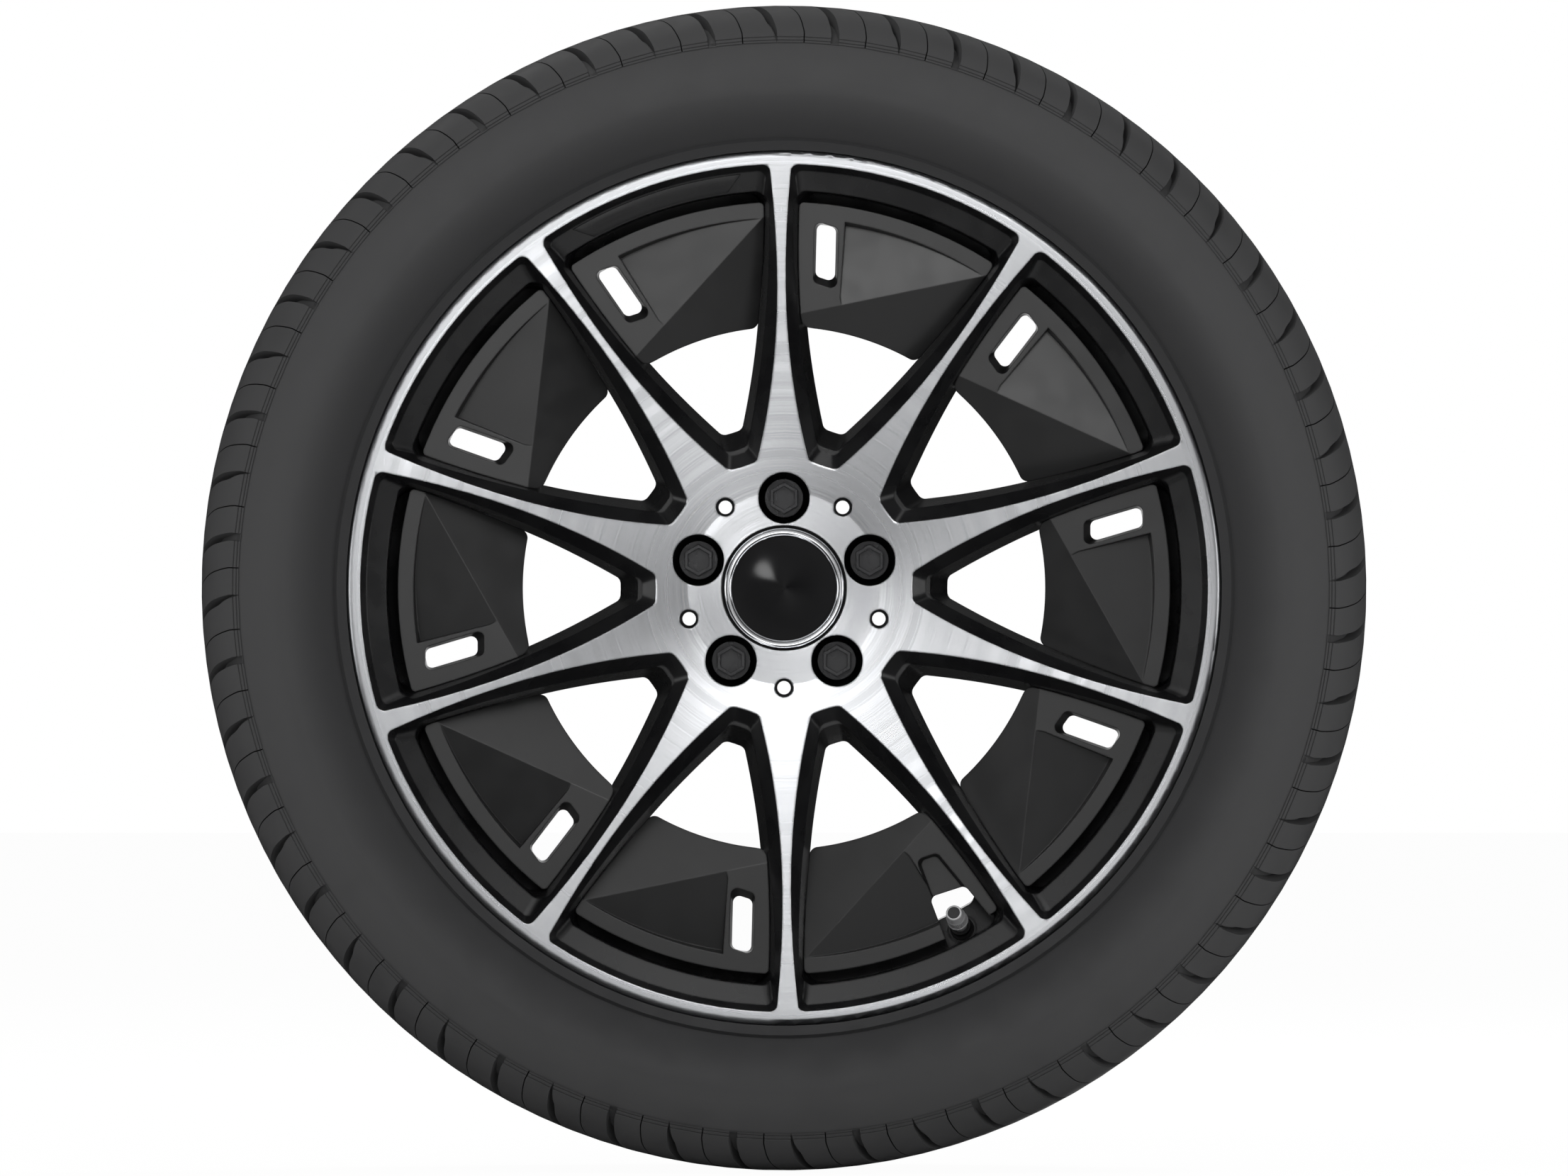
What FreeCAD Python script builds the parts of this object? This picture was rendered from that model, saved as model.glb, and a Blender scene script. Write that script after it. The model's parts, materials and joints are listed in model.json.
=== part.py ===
import FreeCAD, Part
import math
import os
import types

import Sketcher

# An alloy wheel with its tyre, valve, bolts, centre cap and ten aero inserts.
# Origin at the wheel centre. +Y points inboard, the styled face looks along -Y, +Z is up.
# Angles round the axle count clockwise from the top, as seen from the styled face.

SIZES = {
    # rim
    "rim_diameter": 508.0,
    "rim_width": 203.2,
    "flange_height": 17.3,
    "flange_round": 7.0,
    "lip_thickness": 11.4,
    "lip_round": 3.6,
    "rear_lip_thickness": 10.0,
    "rear_lip_round": 2.2,
    "bead_seat_width": 19.8,
    "bead_seat_rise": 1.73,
    "hump_width": 6.8,
    "hump_drop": 0.4,
    "hump_round": 6.0,
    "rim_wall": 5.5,
    "well_depth": 25.7,
    "well_wall_rise": 8.0,
    "well_rear": 26.0,
    "well_ramp": 22.0,
    "barrel_rise": 12.2,
    "barrel_draft": 5.0,
    "barrel_shoulder_gap": 21.6,
    # hub
    "hub_offset": 45.0,
    "pad_margin": 19.0,
    "pad_chamfer": 2.5,
    "bore_diameter": 66.6,
    "bore_chamfer": 1.5,
    "pilot_length": 19.0,
    "hub_face_radius": 60.0,
    "bolt_count": 5,
    "bolt_circle": 112.0,
    "bolt_hole": 15.5,
    "bolt_well": 32.0,
    "bolt_web": 11.0,
    "bolt_seat_depth": 8.0,
    "vent_shift": 6.0,
    "vent_hole": 8.4,
    "vent_sink": 12.0,
    "rear_pocket_depth": 24.0,
    "rear_pocket_radius": 9.5,
    # spokes and windows
    "spoke_count": 10,
    "spoke_tip_reach": 3.0,
    "spoke_root": 100.0,
    "face_bow": 1240.0,
    "face_fall_tip": 0.3,
    "face_fall_root": 14.4,
    "face_fall_hub": 21.0,
    "edge_cw_tip": 3.1,
    "edge_cw_root": 10.5,
    "edge_ccw_tip": 7.4,
    "edge_ccw_root": 12.2,
    "edge_bow": 1500.0,
    "bevel_tip": 0.5,
    "bevel_root": 1.06,
    "flank_level": 21.0,
    "flank_cw_tip": 9.7,
    "flank_cw_root": 18.2,
    "flank_ccw_tip": 12.9,
    "flank_ccw_root": 20.3,
    "flank_bow": 650.0,
    "back_level": 56.0,
    "back_cw_tip": 18.7,
    "back_cw_root": 24.8,
    "back_ccw_tip": 20.0,
    "back_ccw_root": 26.1,
    "spoke_rear_bow": 325.0,
    "spoke_rear_inset": 23.3,
    "spoke_rear_fall": 36.5,
    "spoke_rear_round": 24.0,
    "rim_edge_width": 8.1,
    "rim_step_width": 3.9,
    "rim_step_fall": 7.0,
    "rim_ledge_width": 12.3,
    "rim_ledge_fall": 11.5,
    "rim_wall_draft": 0.5,
    "rim_wall_fall": 36.0,
    "hub_edge_wall": 7.0,
    "hub_edge_fall": 17.6,
    "hub_ridge_run": 12.3,
    "hub_ridge_fall": 25.0,
    "hub_back_run": 10.7,
    "hub_back_fall": 56.0,
    "hub_end_round": 60.0,
    "window_corner_rim": 5.0,
    "window_corner_ledge": 8.0,
    "window_corner_hub": 5.0,
    "cut_margin": 5.0,
    # centre cap
    "fit": 0.3,
    "cap_seat_width": 3.4,
    "cap_seat_depth": 4.8,
    "cap_bore_step": 0.9,
    "cap_flange": 1.5,
    "cap_ring_width": 4.6,
    "cap_ring_proud": 1.6,
    "cap_disc_edge": 1.6,
    "cap_dome": 1.1,
    "cap_dome_flat": 1.5,
    "cap_leg_wall": 2.2,
    "cap_leg_length": 18.5,
    "cap_leg_count": 8,
    "cap_leg_slot": 6.0,
    "cap_bead": 0.7,
    "cap_wire": 1.4,
    # bolts
    "bolt_collar": 24.0,
    "bolt_collar_height": 3.0,
    "bolt_hex": 17.0,
    "bolt_hex_height": 12.0,
    "bolt_recess": 13.0,
    "bolt_recess_depth": 7.0,
    "bolt_shank": 13.4,
    "bolt_thread": 14.0,
    "bolt_reach": 26.0,
    "bolt_tip": 1.5,
    # tyre
    "tyre_diameter": 728.5,
    "tyre_width": 245.0,
    "crown_drop": 2.75,
    "tread_width": 176.0,
    "shoulder_round": 34.0,
    "shoulder_drop": 19.25,
    "shoulder_inset": 9.5,
    "ledge_drop": 25.75,
    "ledge_inset": 5.7,
    "ledge_step": 0.8,
    "sidewall_round": 92.0,
    "protector_gap": 6.2,
    "protector_reach": 13.3,
    "protector_fall": 2.0,
    "sidewall_wall": 9.0,
    "tread_wall": 16.0,
    "bead_toe": 19.0,
    "bead_toe_height": 6.0,
    "bead_height": 26.0,
    "main_groove_width": 9.5,
    "main_groove_foot": 6.5,
    "main_groove_depth": 7.3,
    "inner_groove_place": 20.0,
    "outer_groove_place": 58.0,
    "tread_pairs": 28,
    "groove_ledge_depth": 3.9,
    "groove_turn_drop": 15.3,
    "groove_turn_inset": 19.5,
    "groove_edge_drop": 11.7,
    "groove_edge_reach": 5.6,
    "groove_tail_drop": 7.8,
    "groove_width": 5.4,
    "groove_tail_width": 4.2,
    "groove_point_width": 0.5,
    "groove_tail_length": 18.0,
    "groove_sweep": 3.0,
    "groove_turn_sweep": 2.4,
    "groove_edge_sweep": 1.65,
    # aero inserts, in the frame of a window: across to the clockwise side, and out along its middle
    "insert_rim_gap": 6.5,
    "insert_height": 77.5,
    "insert_depth": 16.0,
    "insert_wall": 2.8,
    "insert_corner_rim": 3.0,
    "insert_corner_hub": 5.5,
    "rib_end": 0.75,
    "crease_across": -42.0,
    "crease_rise": 3.5,
    "crease_angle": 29.6,
    "crease_length": 118.0,
    "outer_tilt": 11.0,
    "inner_tilt": 20.0,
    "band_width": 10.0,
    "slot_rim_gap": 17.0,
    "slot_length": 37.5,
    "slot_across": -33.5,
    "slot_lean": 16.5,
    "slot_width": 16.0,
    "slot_draft": 2.0,
    "slot_sill_draft": 6.0,
    "slot_corner": 4.0,
    "side_bow": 2000.0,
    "notch_length": 29.0,
    "notch_left": -40.0,
    "notch_left_lean": 21.2,
    "notch_right": -25.5,
    "notch_right_lean": 2.8,
    "lobe_depth": 9.0,
    # valve, along its own axis from the seat in the front wall of the well
    "valve_angle": 152.4,
    "valve_inset": 7.0,
    "valve_hole": 11.5,
    "valve_spot": 18.0,
    "valve_spot_depth": 0.4,
    "valve_web": 4.0,
    "valve_spot_run": 13.2,
    "valve_flange": 2.0,
    "valve_head": 3.0,
    "stem_diameter": 8.0,
    "stem_length": 26.0,
    "tip_diameter": 7.7,
    "tip_length": 11.0,
    "stem_bore": 3.8,
    "stem_bore_depth": 23.5,
    "air_bore": 2.0,
    "nut_diameter": 15.0,
    "nut_waist": 12.4,
    "nut_height": 6.6,
    "nut_collar": 2.0,
    "core_length": 18.5,
    "core_sink": 1.5,
    "pin_diameter": 1.2,
    "pin_sink": 0.6,
    "plunger_diameter": 2.8,
    "plunger_length": 1.1,
    "valve_cap_length": 15.2,
    "valve_cap_base": 13.0,
    "valve_cap_top": 10.0,
    "valve_cap_skirt": 9.0,
    "valve_cap_roof": 2.4,
    "valve_cap_lead": 6.0,
    "valve_cap_lead_bore": 9.2,
    "valve_cap_bore": 7.9,
    "seal_thickness": 1.2,
    "small_fit": 0.1,
    # pressure sensor behind the valve
    "sensor_length": 44.0,
    "sensor_height": 17.0,
    "sensor_depth": 11.5,
    "sensor_corner": 5.0,
    "screw_diameter": 3.0,
    "screw_head": 6.0,
    "screw_head_height": 2.4,
    "screw_bite": 4.0,
}

doc = FreeCAD.newDocument("alloy_wheel")
sheet = doc.addObject("Spreadsheet::Sheet", "sizes")
for row, (name, number) in enumerate(SIZES.items(), start=1):
    sheet.set(f"A{row}", str(number))
    sheet.setAlias(f"A{row}", name)
doc.recompute()


class Size:
    """A number together with the expression that binds it to the sheet."""

    def __init__(self, number, text):
        self.number = float(number)
        self.text = text

    def __add__(self, other):
        other = as_size(other)
        return Size(self.number + other.number, f"({self.text} + {other.text})")

    def __sub__(self, other):
        other = as_size(other)
        return Size(self.number - other.number, f"({self.text} - {other.text})")

    def __mul__(self, other):
        other = as_size(other)
        return Size(self.number * other.number, f"{self.text} * {other.text}")

    def __truediv__(self, other):
        other = as_size(other)
        return Size(self.number / other.number, f"{self.text} / ({other.text})")

    def __neg__(self):
        return Size(-self.number, f"(0 - {self.text})")

    def __radd__(self, other):
        return as_size(other) + self

    def __rsub__(self, other):
        return as_size(other) - self

    def __rmul__(self, other):
        return as_size(other) * self

    def __rtruediv__(self, other):
        return as_size(other) / self


def as_size(value):
    """Lets plain numbers join in sums of sizes."""
    return value if isinstance(value, Size) else Size(value, f"({value})")


def sine(degrees):
    degrees = as_size(degrees)
    return Size(math.sin(math.radians(degrees.number)), f"sin({degrees.text} * 1 deg)")


def cosine(degrees):
    degrees = as_size(degrees)
    return Size(math.cos(math.radians(degrees.number)), f"cos({degrees.text} * 1 deg)")


def root(value):
    return Size(math.sqrt(value.number), f"sqrt({value.text})")


def between(start, end, share):
    """The value at a share of the way from start to end, or past either."""
    return start + (end - start) * share


d = types.SimpleNamespace(**{name: Size(number, f"sizes.{name}") for name, number in SIZES.items()})


def vector(x, y):
    return FreeCAD.Vector(x, y, 0)


def bind(thing, name, size):
    """Ties a property of a document object to the sheet."""
    thing.setExpression(name, as_size(size).text)


def new_body(name):
    body = doc.addObject("PartDesign::Body", name)
    body.Label = name
    return body


def copy_of(master, name):
    """Another body of the same shape, to be placed by itself."""
    body = new_body(name)
    body.BaseFeature = master
    return body


def turn_about_axle(body, angle):
    """Turns a piece clockwise round the axle, as seen from the styled face."""
    axle = FreeCAD.Vector(0, 1, 0)
    body.Placement = FreeCAD.Placement(FreeCAD.Vector(), FreeCAD.Rotation(axle, 0))
    bind(body, "Placement.Rotation.Angle", angle)


def new_sketch(body, name, plane, lift=0, turn=0):
    """A sketch on one of the body's own planes, lifted along its normal and turned clockwise."""
    sketch = body.newObject("Sketcher::SketchObject", name)
    support = [f for f in body.Origin.OriginFeatures if f.Role == plane][0]
    sketch.AttachmentSupport = (support, [""])
    sketch.MapMode = "FlatFace"
    lift, turn = as_size(lift), as_size(turn)
    spin = FreeCAD.Rotation(FreeCAD.Vector(0, 0, 1), -turn.number)
    sketch.AttachmentOffset = FreeCAD.Placement(FreeCAD.Vector(0, 0, lift.number), spin)
    if lift.number:
        bind(sketch, "AttachmentOffset.Base.z", lift)
    if turn.number:
        bind(sketch, "AttachmentOffset.Rotation.Angle", -turn)
    return sketch


def pin(sketch, edge, end, x, y):
    """Holds one point of an edge at a place given by two sizes."""
    for kind, size in (("DistanceX", as_size(x)), ("DistanceY", as_size(y))):
        index = sketch.addConstraint(Sketcher.Constraint(kind, -1, 1, edge, end, size.number))
        bind(sketch, f"Constraints[{index}]", size)


def hold_radius(sketch, edge, size):
    size = as_size(size)
    index = sketch.addConstraint(Sketcher.Constraint("Radius", edge, size.number))
    bind(sketch, f"Constraints[{index}]", size)


def arc_between(centre, start, end):
    """A counter-clockwise arc about centre."""
    from_centre = start - centre
    to_end = end - centre
    circle = Part.Circle(centre, FreeCAD.Vector(0, 0, 1), from_centre.Length)
    begin = math.atan2(from_centre.y, from_centre.x)
    finish = math.atan2(to_end.y, to_end.x)
    if finish <= begin:
        finish += 2 * math.pi
    return Part.ArcOfCircle(circle, begin, finish)


def bowed_centre(start, end, radius):
    """The centre of the arc of that radius that turns left from start to end."""
    run_x, run_y = end[0] - start[0], end[1] - start[1]
    length_squared = run_x * run_x + run_y * run_y
    reach = root(radius * radius / length_squared - 0.25)
    half = as_size(0.5)
    return (
        (start[0] + end[0]) * half - run_y * reach,
        (start[1] + end[1]) * half + run_x * reach,
    )


def draw_profile(sketch, corners):
    """A closed outline. A corner is (x, y), or (x, y, radius) where an arc leads to the next one.

    A radius over zero turns left on the way, and one under zero turns right.
    """
    edges = []
    for here, following in zip(corners, corners[1:] + corners[:1]):
        start = vector(as_size(here[0]).number, as_size(here[1]).number)
        end = vector(as_size(following[0]).number, as_size(following[1]).number)
        if len(here) == 2:
            edges.append((sketch.addGeometry(Part.LineSegment(start, end), False), 1, 2))
            continue
        radius = as_size(here[2])
        left = radius.number > 0
        size = radius if left else -radius
        half = (end - start) * 0.5
        rise = math.sqrt(size.number**2 - half.Length**2)
        side = FreeCAD.Vector(-half.y, half.x, 0).normalize() * (rise if left else -rise)
        centre = start + half + side
        arc = arc_between(centre, start, end) if left else arc_between(centre, end, start)
        edge = sketch.addGeometry(arc, False)
        edges.append((edge, 1, 2) if left else (edge, 2, 1))
    for (edge, _, last), (other, first, _) in zip(edges, edges[1:] + edges[:1]):
        sketch.addConstraint(Sketcher.Constraint("Coincident", edge, last, other, first))
    for (edge, first, _), corner in zip(edges, corners):
        pin(sketch, edge, first, corner[0], corner[1])
        if len(corner) == 3:
            size = as_size(corner[2])
            hold_radius(sketch, edge, size if size.number > 0 else -size)


def meeting(centre_a, radius_a, centre_b, radius_b, near):
    """Where two circles cross, the crossing nearer to a point."""
    apart = centre_b - centre_a
    gap = apart.Length
    along = (gap**2 + radius_a**2 - radius_b**2) / (2 * gap)
    across = math.sqrt(max(radius_a**2 - along**2, 0))
    unit = apart * (1 / gap)
    normal = FreeCAD.Vector(-unit.y, unit.x, 0)
    crossings = [centre_a + unit * along + normal * side for side in (across, -across)]
    return min(crossings, key=lambda point: (point - near).Length)


def draw_rounded(sketch, sides):
    """A closed outline of arcs with rounded corners, counter-clockwise.

    Each side is (centre, radius, hollow, corner radius to the next side, rough corner point).
    A hollow side has its centre outside the outline.
    """
    centres = [vector(as_size(s[0][0]).number, as_size(s[0][1]).number) for s in sides]
    radii = [as_size(s[1]).number for s in sides]
    rounds = []
    for i, (_, _, hollow, corner, near) in enumerate(sides):
        j = (i + 1) % len(sides)
        size = as_size(corner).number
        reach_i = radii[i] + size if hollow else radii[i] - size
        reach_j = radii[j] + size if sides[j][2] else radii[j] - size
        near = vector(as_size(near[0]).number, as_size(near[1]).number)
        middle = meeting(centres[i], reach_i, centres[j], reach_j, near)
        leave = centres[i] + (middle - centres[i]).normalize() * radii[i]
        join = centres[j] + (middle - centres[j]).normalize() * radii[j]
        rounds.append((middle, leave, join))
    loop = []
    for i, (centre, radius, hollow, corner, _) in enumerate(sides):
        start, end = rounds[i - 1][2], rounds[i][1]
        arc = arc_between(centres[i], end, start) if hollow else arc_between(centres[i], start, end)
        edge = sketch.addGeometry(arc, False)
        loop.append((edge, 2, 1) if hollow else (edge, 1, 2))
        middle, leave, join = rounds[i]
        turn = sketch.addGeometry(arc_between(middle, leave, join), False)
        loop.append((turn, 1, 2))
        pin(sketch, edge, 3, centre[0], centre[1])
        hold_radius(sketch, edge, radius)
        hold_radius(sketch, turn, corner)
    for (edge, _, last), (other, first, _) in zip(loop, loop[1:] + loop[:1]):
        sketch.addConstraint(Sketcher.Constraint("Tangent", edge, last, other, first))


def revolve(body, name, corners, kind="PartDesign::Revolution"):
    """Turns a profile of (radius, place along the axle) round the axle."""
    sketch = new_sketch(body, name + "_profile", "XY_Plane")
    draw_profile(sketch, corners)
    feature = body.newObject(kind, name)
    feature.Profile = sketch
    feature.ReferenceAxis = (sketch, ["V_Axis"])
    feature.Angle = 360
    return feature


def pattern(body, name, features, count):
    """Repeats features evenly round the axle."""
    axis = [f for f in body.Origin.OriginFeatures if f.Role == "Y_Axis"][0]
    feature = body.newObject("PartDesign::PolarPattern", name)
    feature.Originals = features
    feature.Axis = (axis, [""])
    feature.Angle = 360
    feature.Occurrences = int(count.number)
    bind(feature, "Occurrences", count)
    body.Tip = feature
    return feature


# Places that several pieces share: along the axle, with the middle of the rim at 0
bead_level = d.rim_width / 2
lip_level = -bead_level - d.lip_thickness
hub_level = -d.hub_offset
hub_front = lip_level + d.face_fall_hub
wall_top_level = lip_level + d.rim_wall_fall
well_front_level = wall_top_level + d.well_wall_rise
insert_front = lip_level + d.flank_level
insert_back = insert_front + d.insert_depth

# Radii of the rim, from its bead seat out to the lip and in to the well
rim_radius = d.rim_diameter / 2
lip_radius = rim_radius + d.flange_height
well_radius = rim_radius - d.well_depth
rim_edge_radius = lip_radius - d.rim_edge_width
rim_step_radius = rim_edge_radius - d.rim_step_width
rim_ledge_radius = rim_step_radius - d.rim_ledge_width
rim_wall_radius = rim_ledge_radius - d.rim_wall_draft

# Radii of the hub and the spokes
bolt_radius = d.bolt_circle / 2
vent_radius = bolt_radius + d.vent_shift
pad_radius = bolt_radius + d.pad_margin
hub_edge = bolt_radius + d.bolt_well / 2 + d.hub_edge_wall
hub_ridge = hub_edge + d.hub_ridge_run
hub_back = hub_ridge + d.hub_back_run
cap_bore = d.bore_diameter / 2 + d.cap_bore_step
cap_recess = cap_bore + d.cap_seat_width
spoke_tip = rim_ledge_radius + d.spoke_tip_reach
spoke_rear_radius = well_radius - d.spoke_rear_inset
half_pitch = 180 / d.spoke_count

# Places on the aero inserts, out from the axle
insert_rim = rim_wall_radius - d.insert_rim_gap
insert_hub = insert_rim - d.insert_height
crease_out = insert_hub + d.crease_rise
band_radius = insert_rim - d.band_width
slot_rim = insert_rim - d.slot_rim_gap
slot_hub = slot_rim - d.slot_length
notch_break = insert_rim - d.notch_length

# The tyre's section, by radius and by distance from its middle
tyre_radius = d.tyre_diameter / 2
tread_half = d.tread_width / 2
belly_level = d.tyre_width / 2
belly_radius = (rim_radius + tyre_radius) / 2
shoulder_radius = tyre_radius - d.shoulder_drop
shoulder_level = belly_level - d.shoulder_inset
ledge_radius = tyre_radius - d.ledge_drop
ledge_level = belly_level - d.ledge_inset
protector_radius = lip_radius + d.protector_gap
protector_level = bead_level + d.protector_reach

# The valve stands square on the well's front wall, which leans
wall_slope = (well_front_level - wall_top_level) / (rim_wall_radius - well_radius)
valve_radius = rim_wall_radius - d.valve_inset
valve_level = wall_top_level + wall_slope * d.valve_inset
valve_lean = Size(math.degrees(math.atan(wall_slope.number)), f"atan({wall_slope.text}) / 1 deg")


def spoke_edge(side, station, half_width):
    """A point beside a spoke, in the frame of the window between two spokes.

    Side is -1 for the clockwise edge of the spoke before the window, 1 for the other spoke.
    """
    return (
        side * (station * sine(half_pitch) - half_width * cosine(half_pitch)),
        station * cosine(half_pitch) + half_width * sine(half_pitch),
    )


def window_sides(widths, bow, rim, rim_corner, hub, hub_corner, hub_hollow=False):
    """The rounded outline between two spokes, for draw_rounded.

    Widths are the half widths of the spokes: clockwise tip and root, counter-clockwise tip and root.
    """
    cw_tip, cw_root, ccw_tip, ccw_root = widths
    right = spoke_edge(1, d.spoke_root, ccw_root), spoke_edge(1, spoke_tip, ccw_tip)
    left = spoke_edge(-1, spoke_tip, cw_tip), spoke_edge(-1, d.spoke_root, cw_root)
    if hub_hollow:
        hub_centre, hub_radius = (as_size(0), as_size(0)), hub
    else:
        hub_centre, hub_radius = (as_size(0), hub + d.hub_end_round), d.hub_end_round
    return [
        (bowed_centre(*right, bow), bow, False, rim_corner, right[1]),
        ((as_size(0), as_size(0)), rim, False, rim_corner, left[0]),
        (bowed_centre(*left, bow), bow, False, hub_corner, spoke_edge(-1, hub, cw_root)),
        (hub_centre, hub_radius, hub_hollow, hub_corner, spoke_edge(1, hub, ccw_root)),
    ]


def bevel_widths(level):
    """Half widths of a spoke on the bevels beside its face, at a level along the axle."""
    tip = d.bevel_tip * (level - lip_level - d.face_fall_tip)
    base = d.bevel_root * (level - lip_level - d.face_fall_root)
    return (
        d.edge_cw_tip + tip,
        d.edge_cw_root + base,
        d.edge_ccw_tip + tip,
        d.edge_ccw_root + base,
    )


def flank_widths(level, clearance=0):
    """Half widths of a spoke on its deep flanks, at a level along the axle."""
    share = (level - lip_level - d.flank_level) / (d.back_level - d.flank_level)
    return (
        between(d.flank_cw_tip, d.back_cw_tip, share) + clearance,
        between(d.flank_cw_root, d.back_cw_root, share) + clearance,
        between(d.flank_ccw_tip, d.back_ccw_tip, share) + clearance,
        between(d.flank_ccw_root, d.back_ccw_root, share) + clearance,
    )


def bevel_hub(level):
    """Where the bevel at the hub end of a window lies."""
    share = (level - lip_level - d.hub_edge_fall) / (d.hub_ridge_fall - d.hub_edge_fall)
    return between(hub_edge, hub_ridge, share)


def flank_hub(level):
    """Where the deep wall at the hub end of a window lies."""
    share = (level - lip_level - d.hub_ridge_fall) / (d.hub_back_fall - d.hub_ridge_fall)
    return between(hub_ridge, hub_back, share)


def loft(body, name, kind, sketches):
    feature = body.newObject(kind, name)
    feature.Profile = sketches[0]
    feature.Sections = sketches[1:]
    feature.Ruled = True
    return feature


def wheel_profile():
    """The section of the casting before its windows and holes: (radius, place along the axle)."""
    bore = d.bore_diameter / 2
    well_outer = well_radius + d.rim_wall
    barrel = well_radius + d.barrel_rise
    shoulder = barrel + d.barrel_draft
    ramp_level = -d.well_rear + d.well_ramp
    seat_end = bead_level - d.bead_seat_width
    hump_end = seat_end - d.hump_width
    seat_radius = rim_radius - d.bead_seat_rise
    hump_radius = seat_radius - d.hump_drop
    rear_level = bead_level + d.rear_lip_thickness
    wall_outer = well_front_level + d.rim_wall - wall_slope * d.rim_wall
    spoke_rear = lip_level + d.spoke_rear_fall
    flange_foot = lip_radius - d.flange_round
    cap_floor = hub_front + d.cap_seat_depth
    pilot_end = hub_level - d.pilot_length
    return [
        (bore + d.bore_chamfer, hub_level),
        (pad_radius, hub_level),
        (pad_radius + d.pad_chamfer, hub_level - d.pad_chamfer, d.spoke_rear_bow),
        (spoke_rear_radius, spoke_rear, d.spoke_rear_round),
        (well_radius, well_front_level + d.rim_wall),
        (well_radius, -d.well_rear),
        (barrel, ramp_level),
        (shoulder, bead_level - d.barrel_shoulder_gap),
        (shoulder, bead_level - d.rim_wall),
        (flange_foot - d.rim_wall, rear_level),
        (lip_radius - d.rear_lip_round, rear_level, -d.rear_lip_round),
        (lip_radius, rear_level - d.rear_lip_round),
        (lip_radius, bead_level + d.flange_round, d.flange_round),
        (flange_foot, bead_level),
        (rim_radius, bead_level),
        (seat_radius, seat_end, d.hump_round),
        (hump_radius, hump_end),
        (barrel + d.rim_wall, ramp_level + d.rim_wall),
        (well_outer, -d.well_rear + d.rim_wall),
        (well_outer, wall_outer),
        (hump_radius, -hump_end, d.hump_round),
        (seat_radius, -seat_end),
        (rim_radius, -bead_level),
        (flange_foot, -bead_level, d.flange_round),
        (lip_radius, -bead_level - d.flange_round),
        (lip_radius, lip_level + d.lip_round, -d.lip_round),
        (lip_radius - d.lip_round, lip_level),
        (rim_edge_radius, lip_level, -d.face_bow),
        (d.hub_face_radius, hub_front),
        (cap_recess + d.bore_chamfer, hub_front),
        (cap_recess, hub_front + d.bore_chamfer),
        (cap_recess, cap_floor),
        (cap_bore, cap_floor),
        (cap_bore, pilot_end),
        (bore, pilot_end),
        (bore, hub_level - d.bore_chamfer),
    ]


def window_cut(body, name, levels, widths, bow, rims, rim_corner, hub):
    """A drafted cut through the disc between two spokes, with an outline at each level."""
    sketches = []
    for index, (level, rim) in enumerate(zip(levels, rims)):
        sketch = new_sketch(body, f"{name}_outline_{index + 1}", "XZ_Plane", -level, half_pitch)
        sides = window_sides(widths(level), bow, rim, rim_corner, hub(level), d.window_corner_hub)
        draw_rounded(sketch, sides)
        sketches.append(sketch)
    return loft(body, name, "PartDesign::SubtractiveLoft", sketches)


def bolt_hole(body):
    """One stepped bolt hole at the top of the bolt circle: well, ball seat and clearance hole."""
    sketch = new_sketch(body, "bolt_hole_profile", "XY_Plane", bolt_radius)
    well = d.bolt_well / 2
    hole = d.bolt_hole / 2
    seat_foot = hub_level - d.bolt_web
    seat_top = seat_foot - d.bolt_seat_depth
    corners = [
        (0, hub_level + d.cut_margin),
        (hole, hub_level + d.cut_margin),
        (hole, seat_foot),
        (well, seat_top),
        (well, lip_level),
        (0, lip_level),
    ]
    return groove(body, "bolt_hole", sketch, corners)


def vent_hole(body):
    """One small through hole between two bolts, sunk at the front, with a core pocket behind it."""
    sketch = new_sketch(body, "vent_hole_profile", "XY_Plane", -vent_radius)
    hole = d.vent_hole / 2
    sink = d.vent_sink / 2
    floor = hub_level - d.rear_pocket_depth
    corners = [
        (0, hub_level + d.cut_margin),
        (d.rear_pocket_radius, hub_level + d.cut_margin),
        (d.rear_pocket_radius, floor),
        (hole, floor),
        (hole, hub_front + sink - hole),
        (sink, hub_front),
        (sink, lip_level),
        (0, lip_level),
    ]
    return groove(body, "vent_hole", sketch, corners)


def groove(body, name, sketch, corners):
    draw_profile(sketch, corners)
    feature = body.newObject("PartDesign::Groove", name)
    feature.Profile = sketch
    feature.ReferenceAxis = (sketch, ["V_Axis"])
    feature.Angle = 360
    return feature


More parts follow.
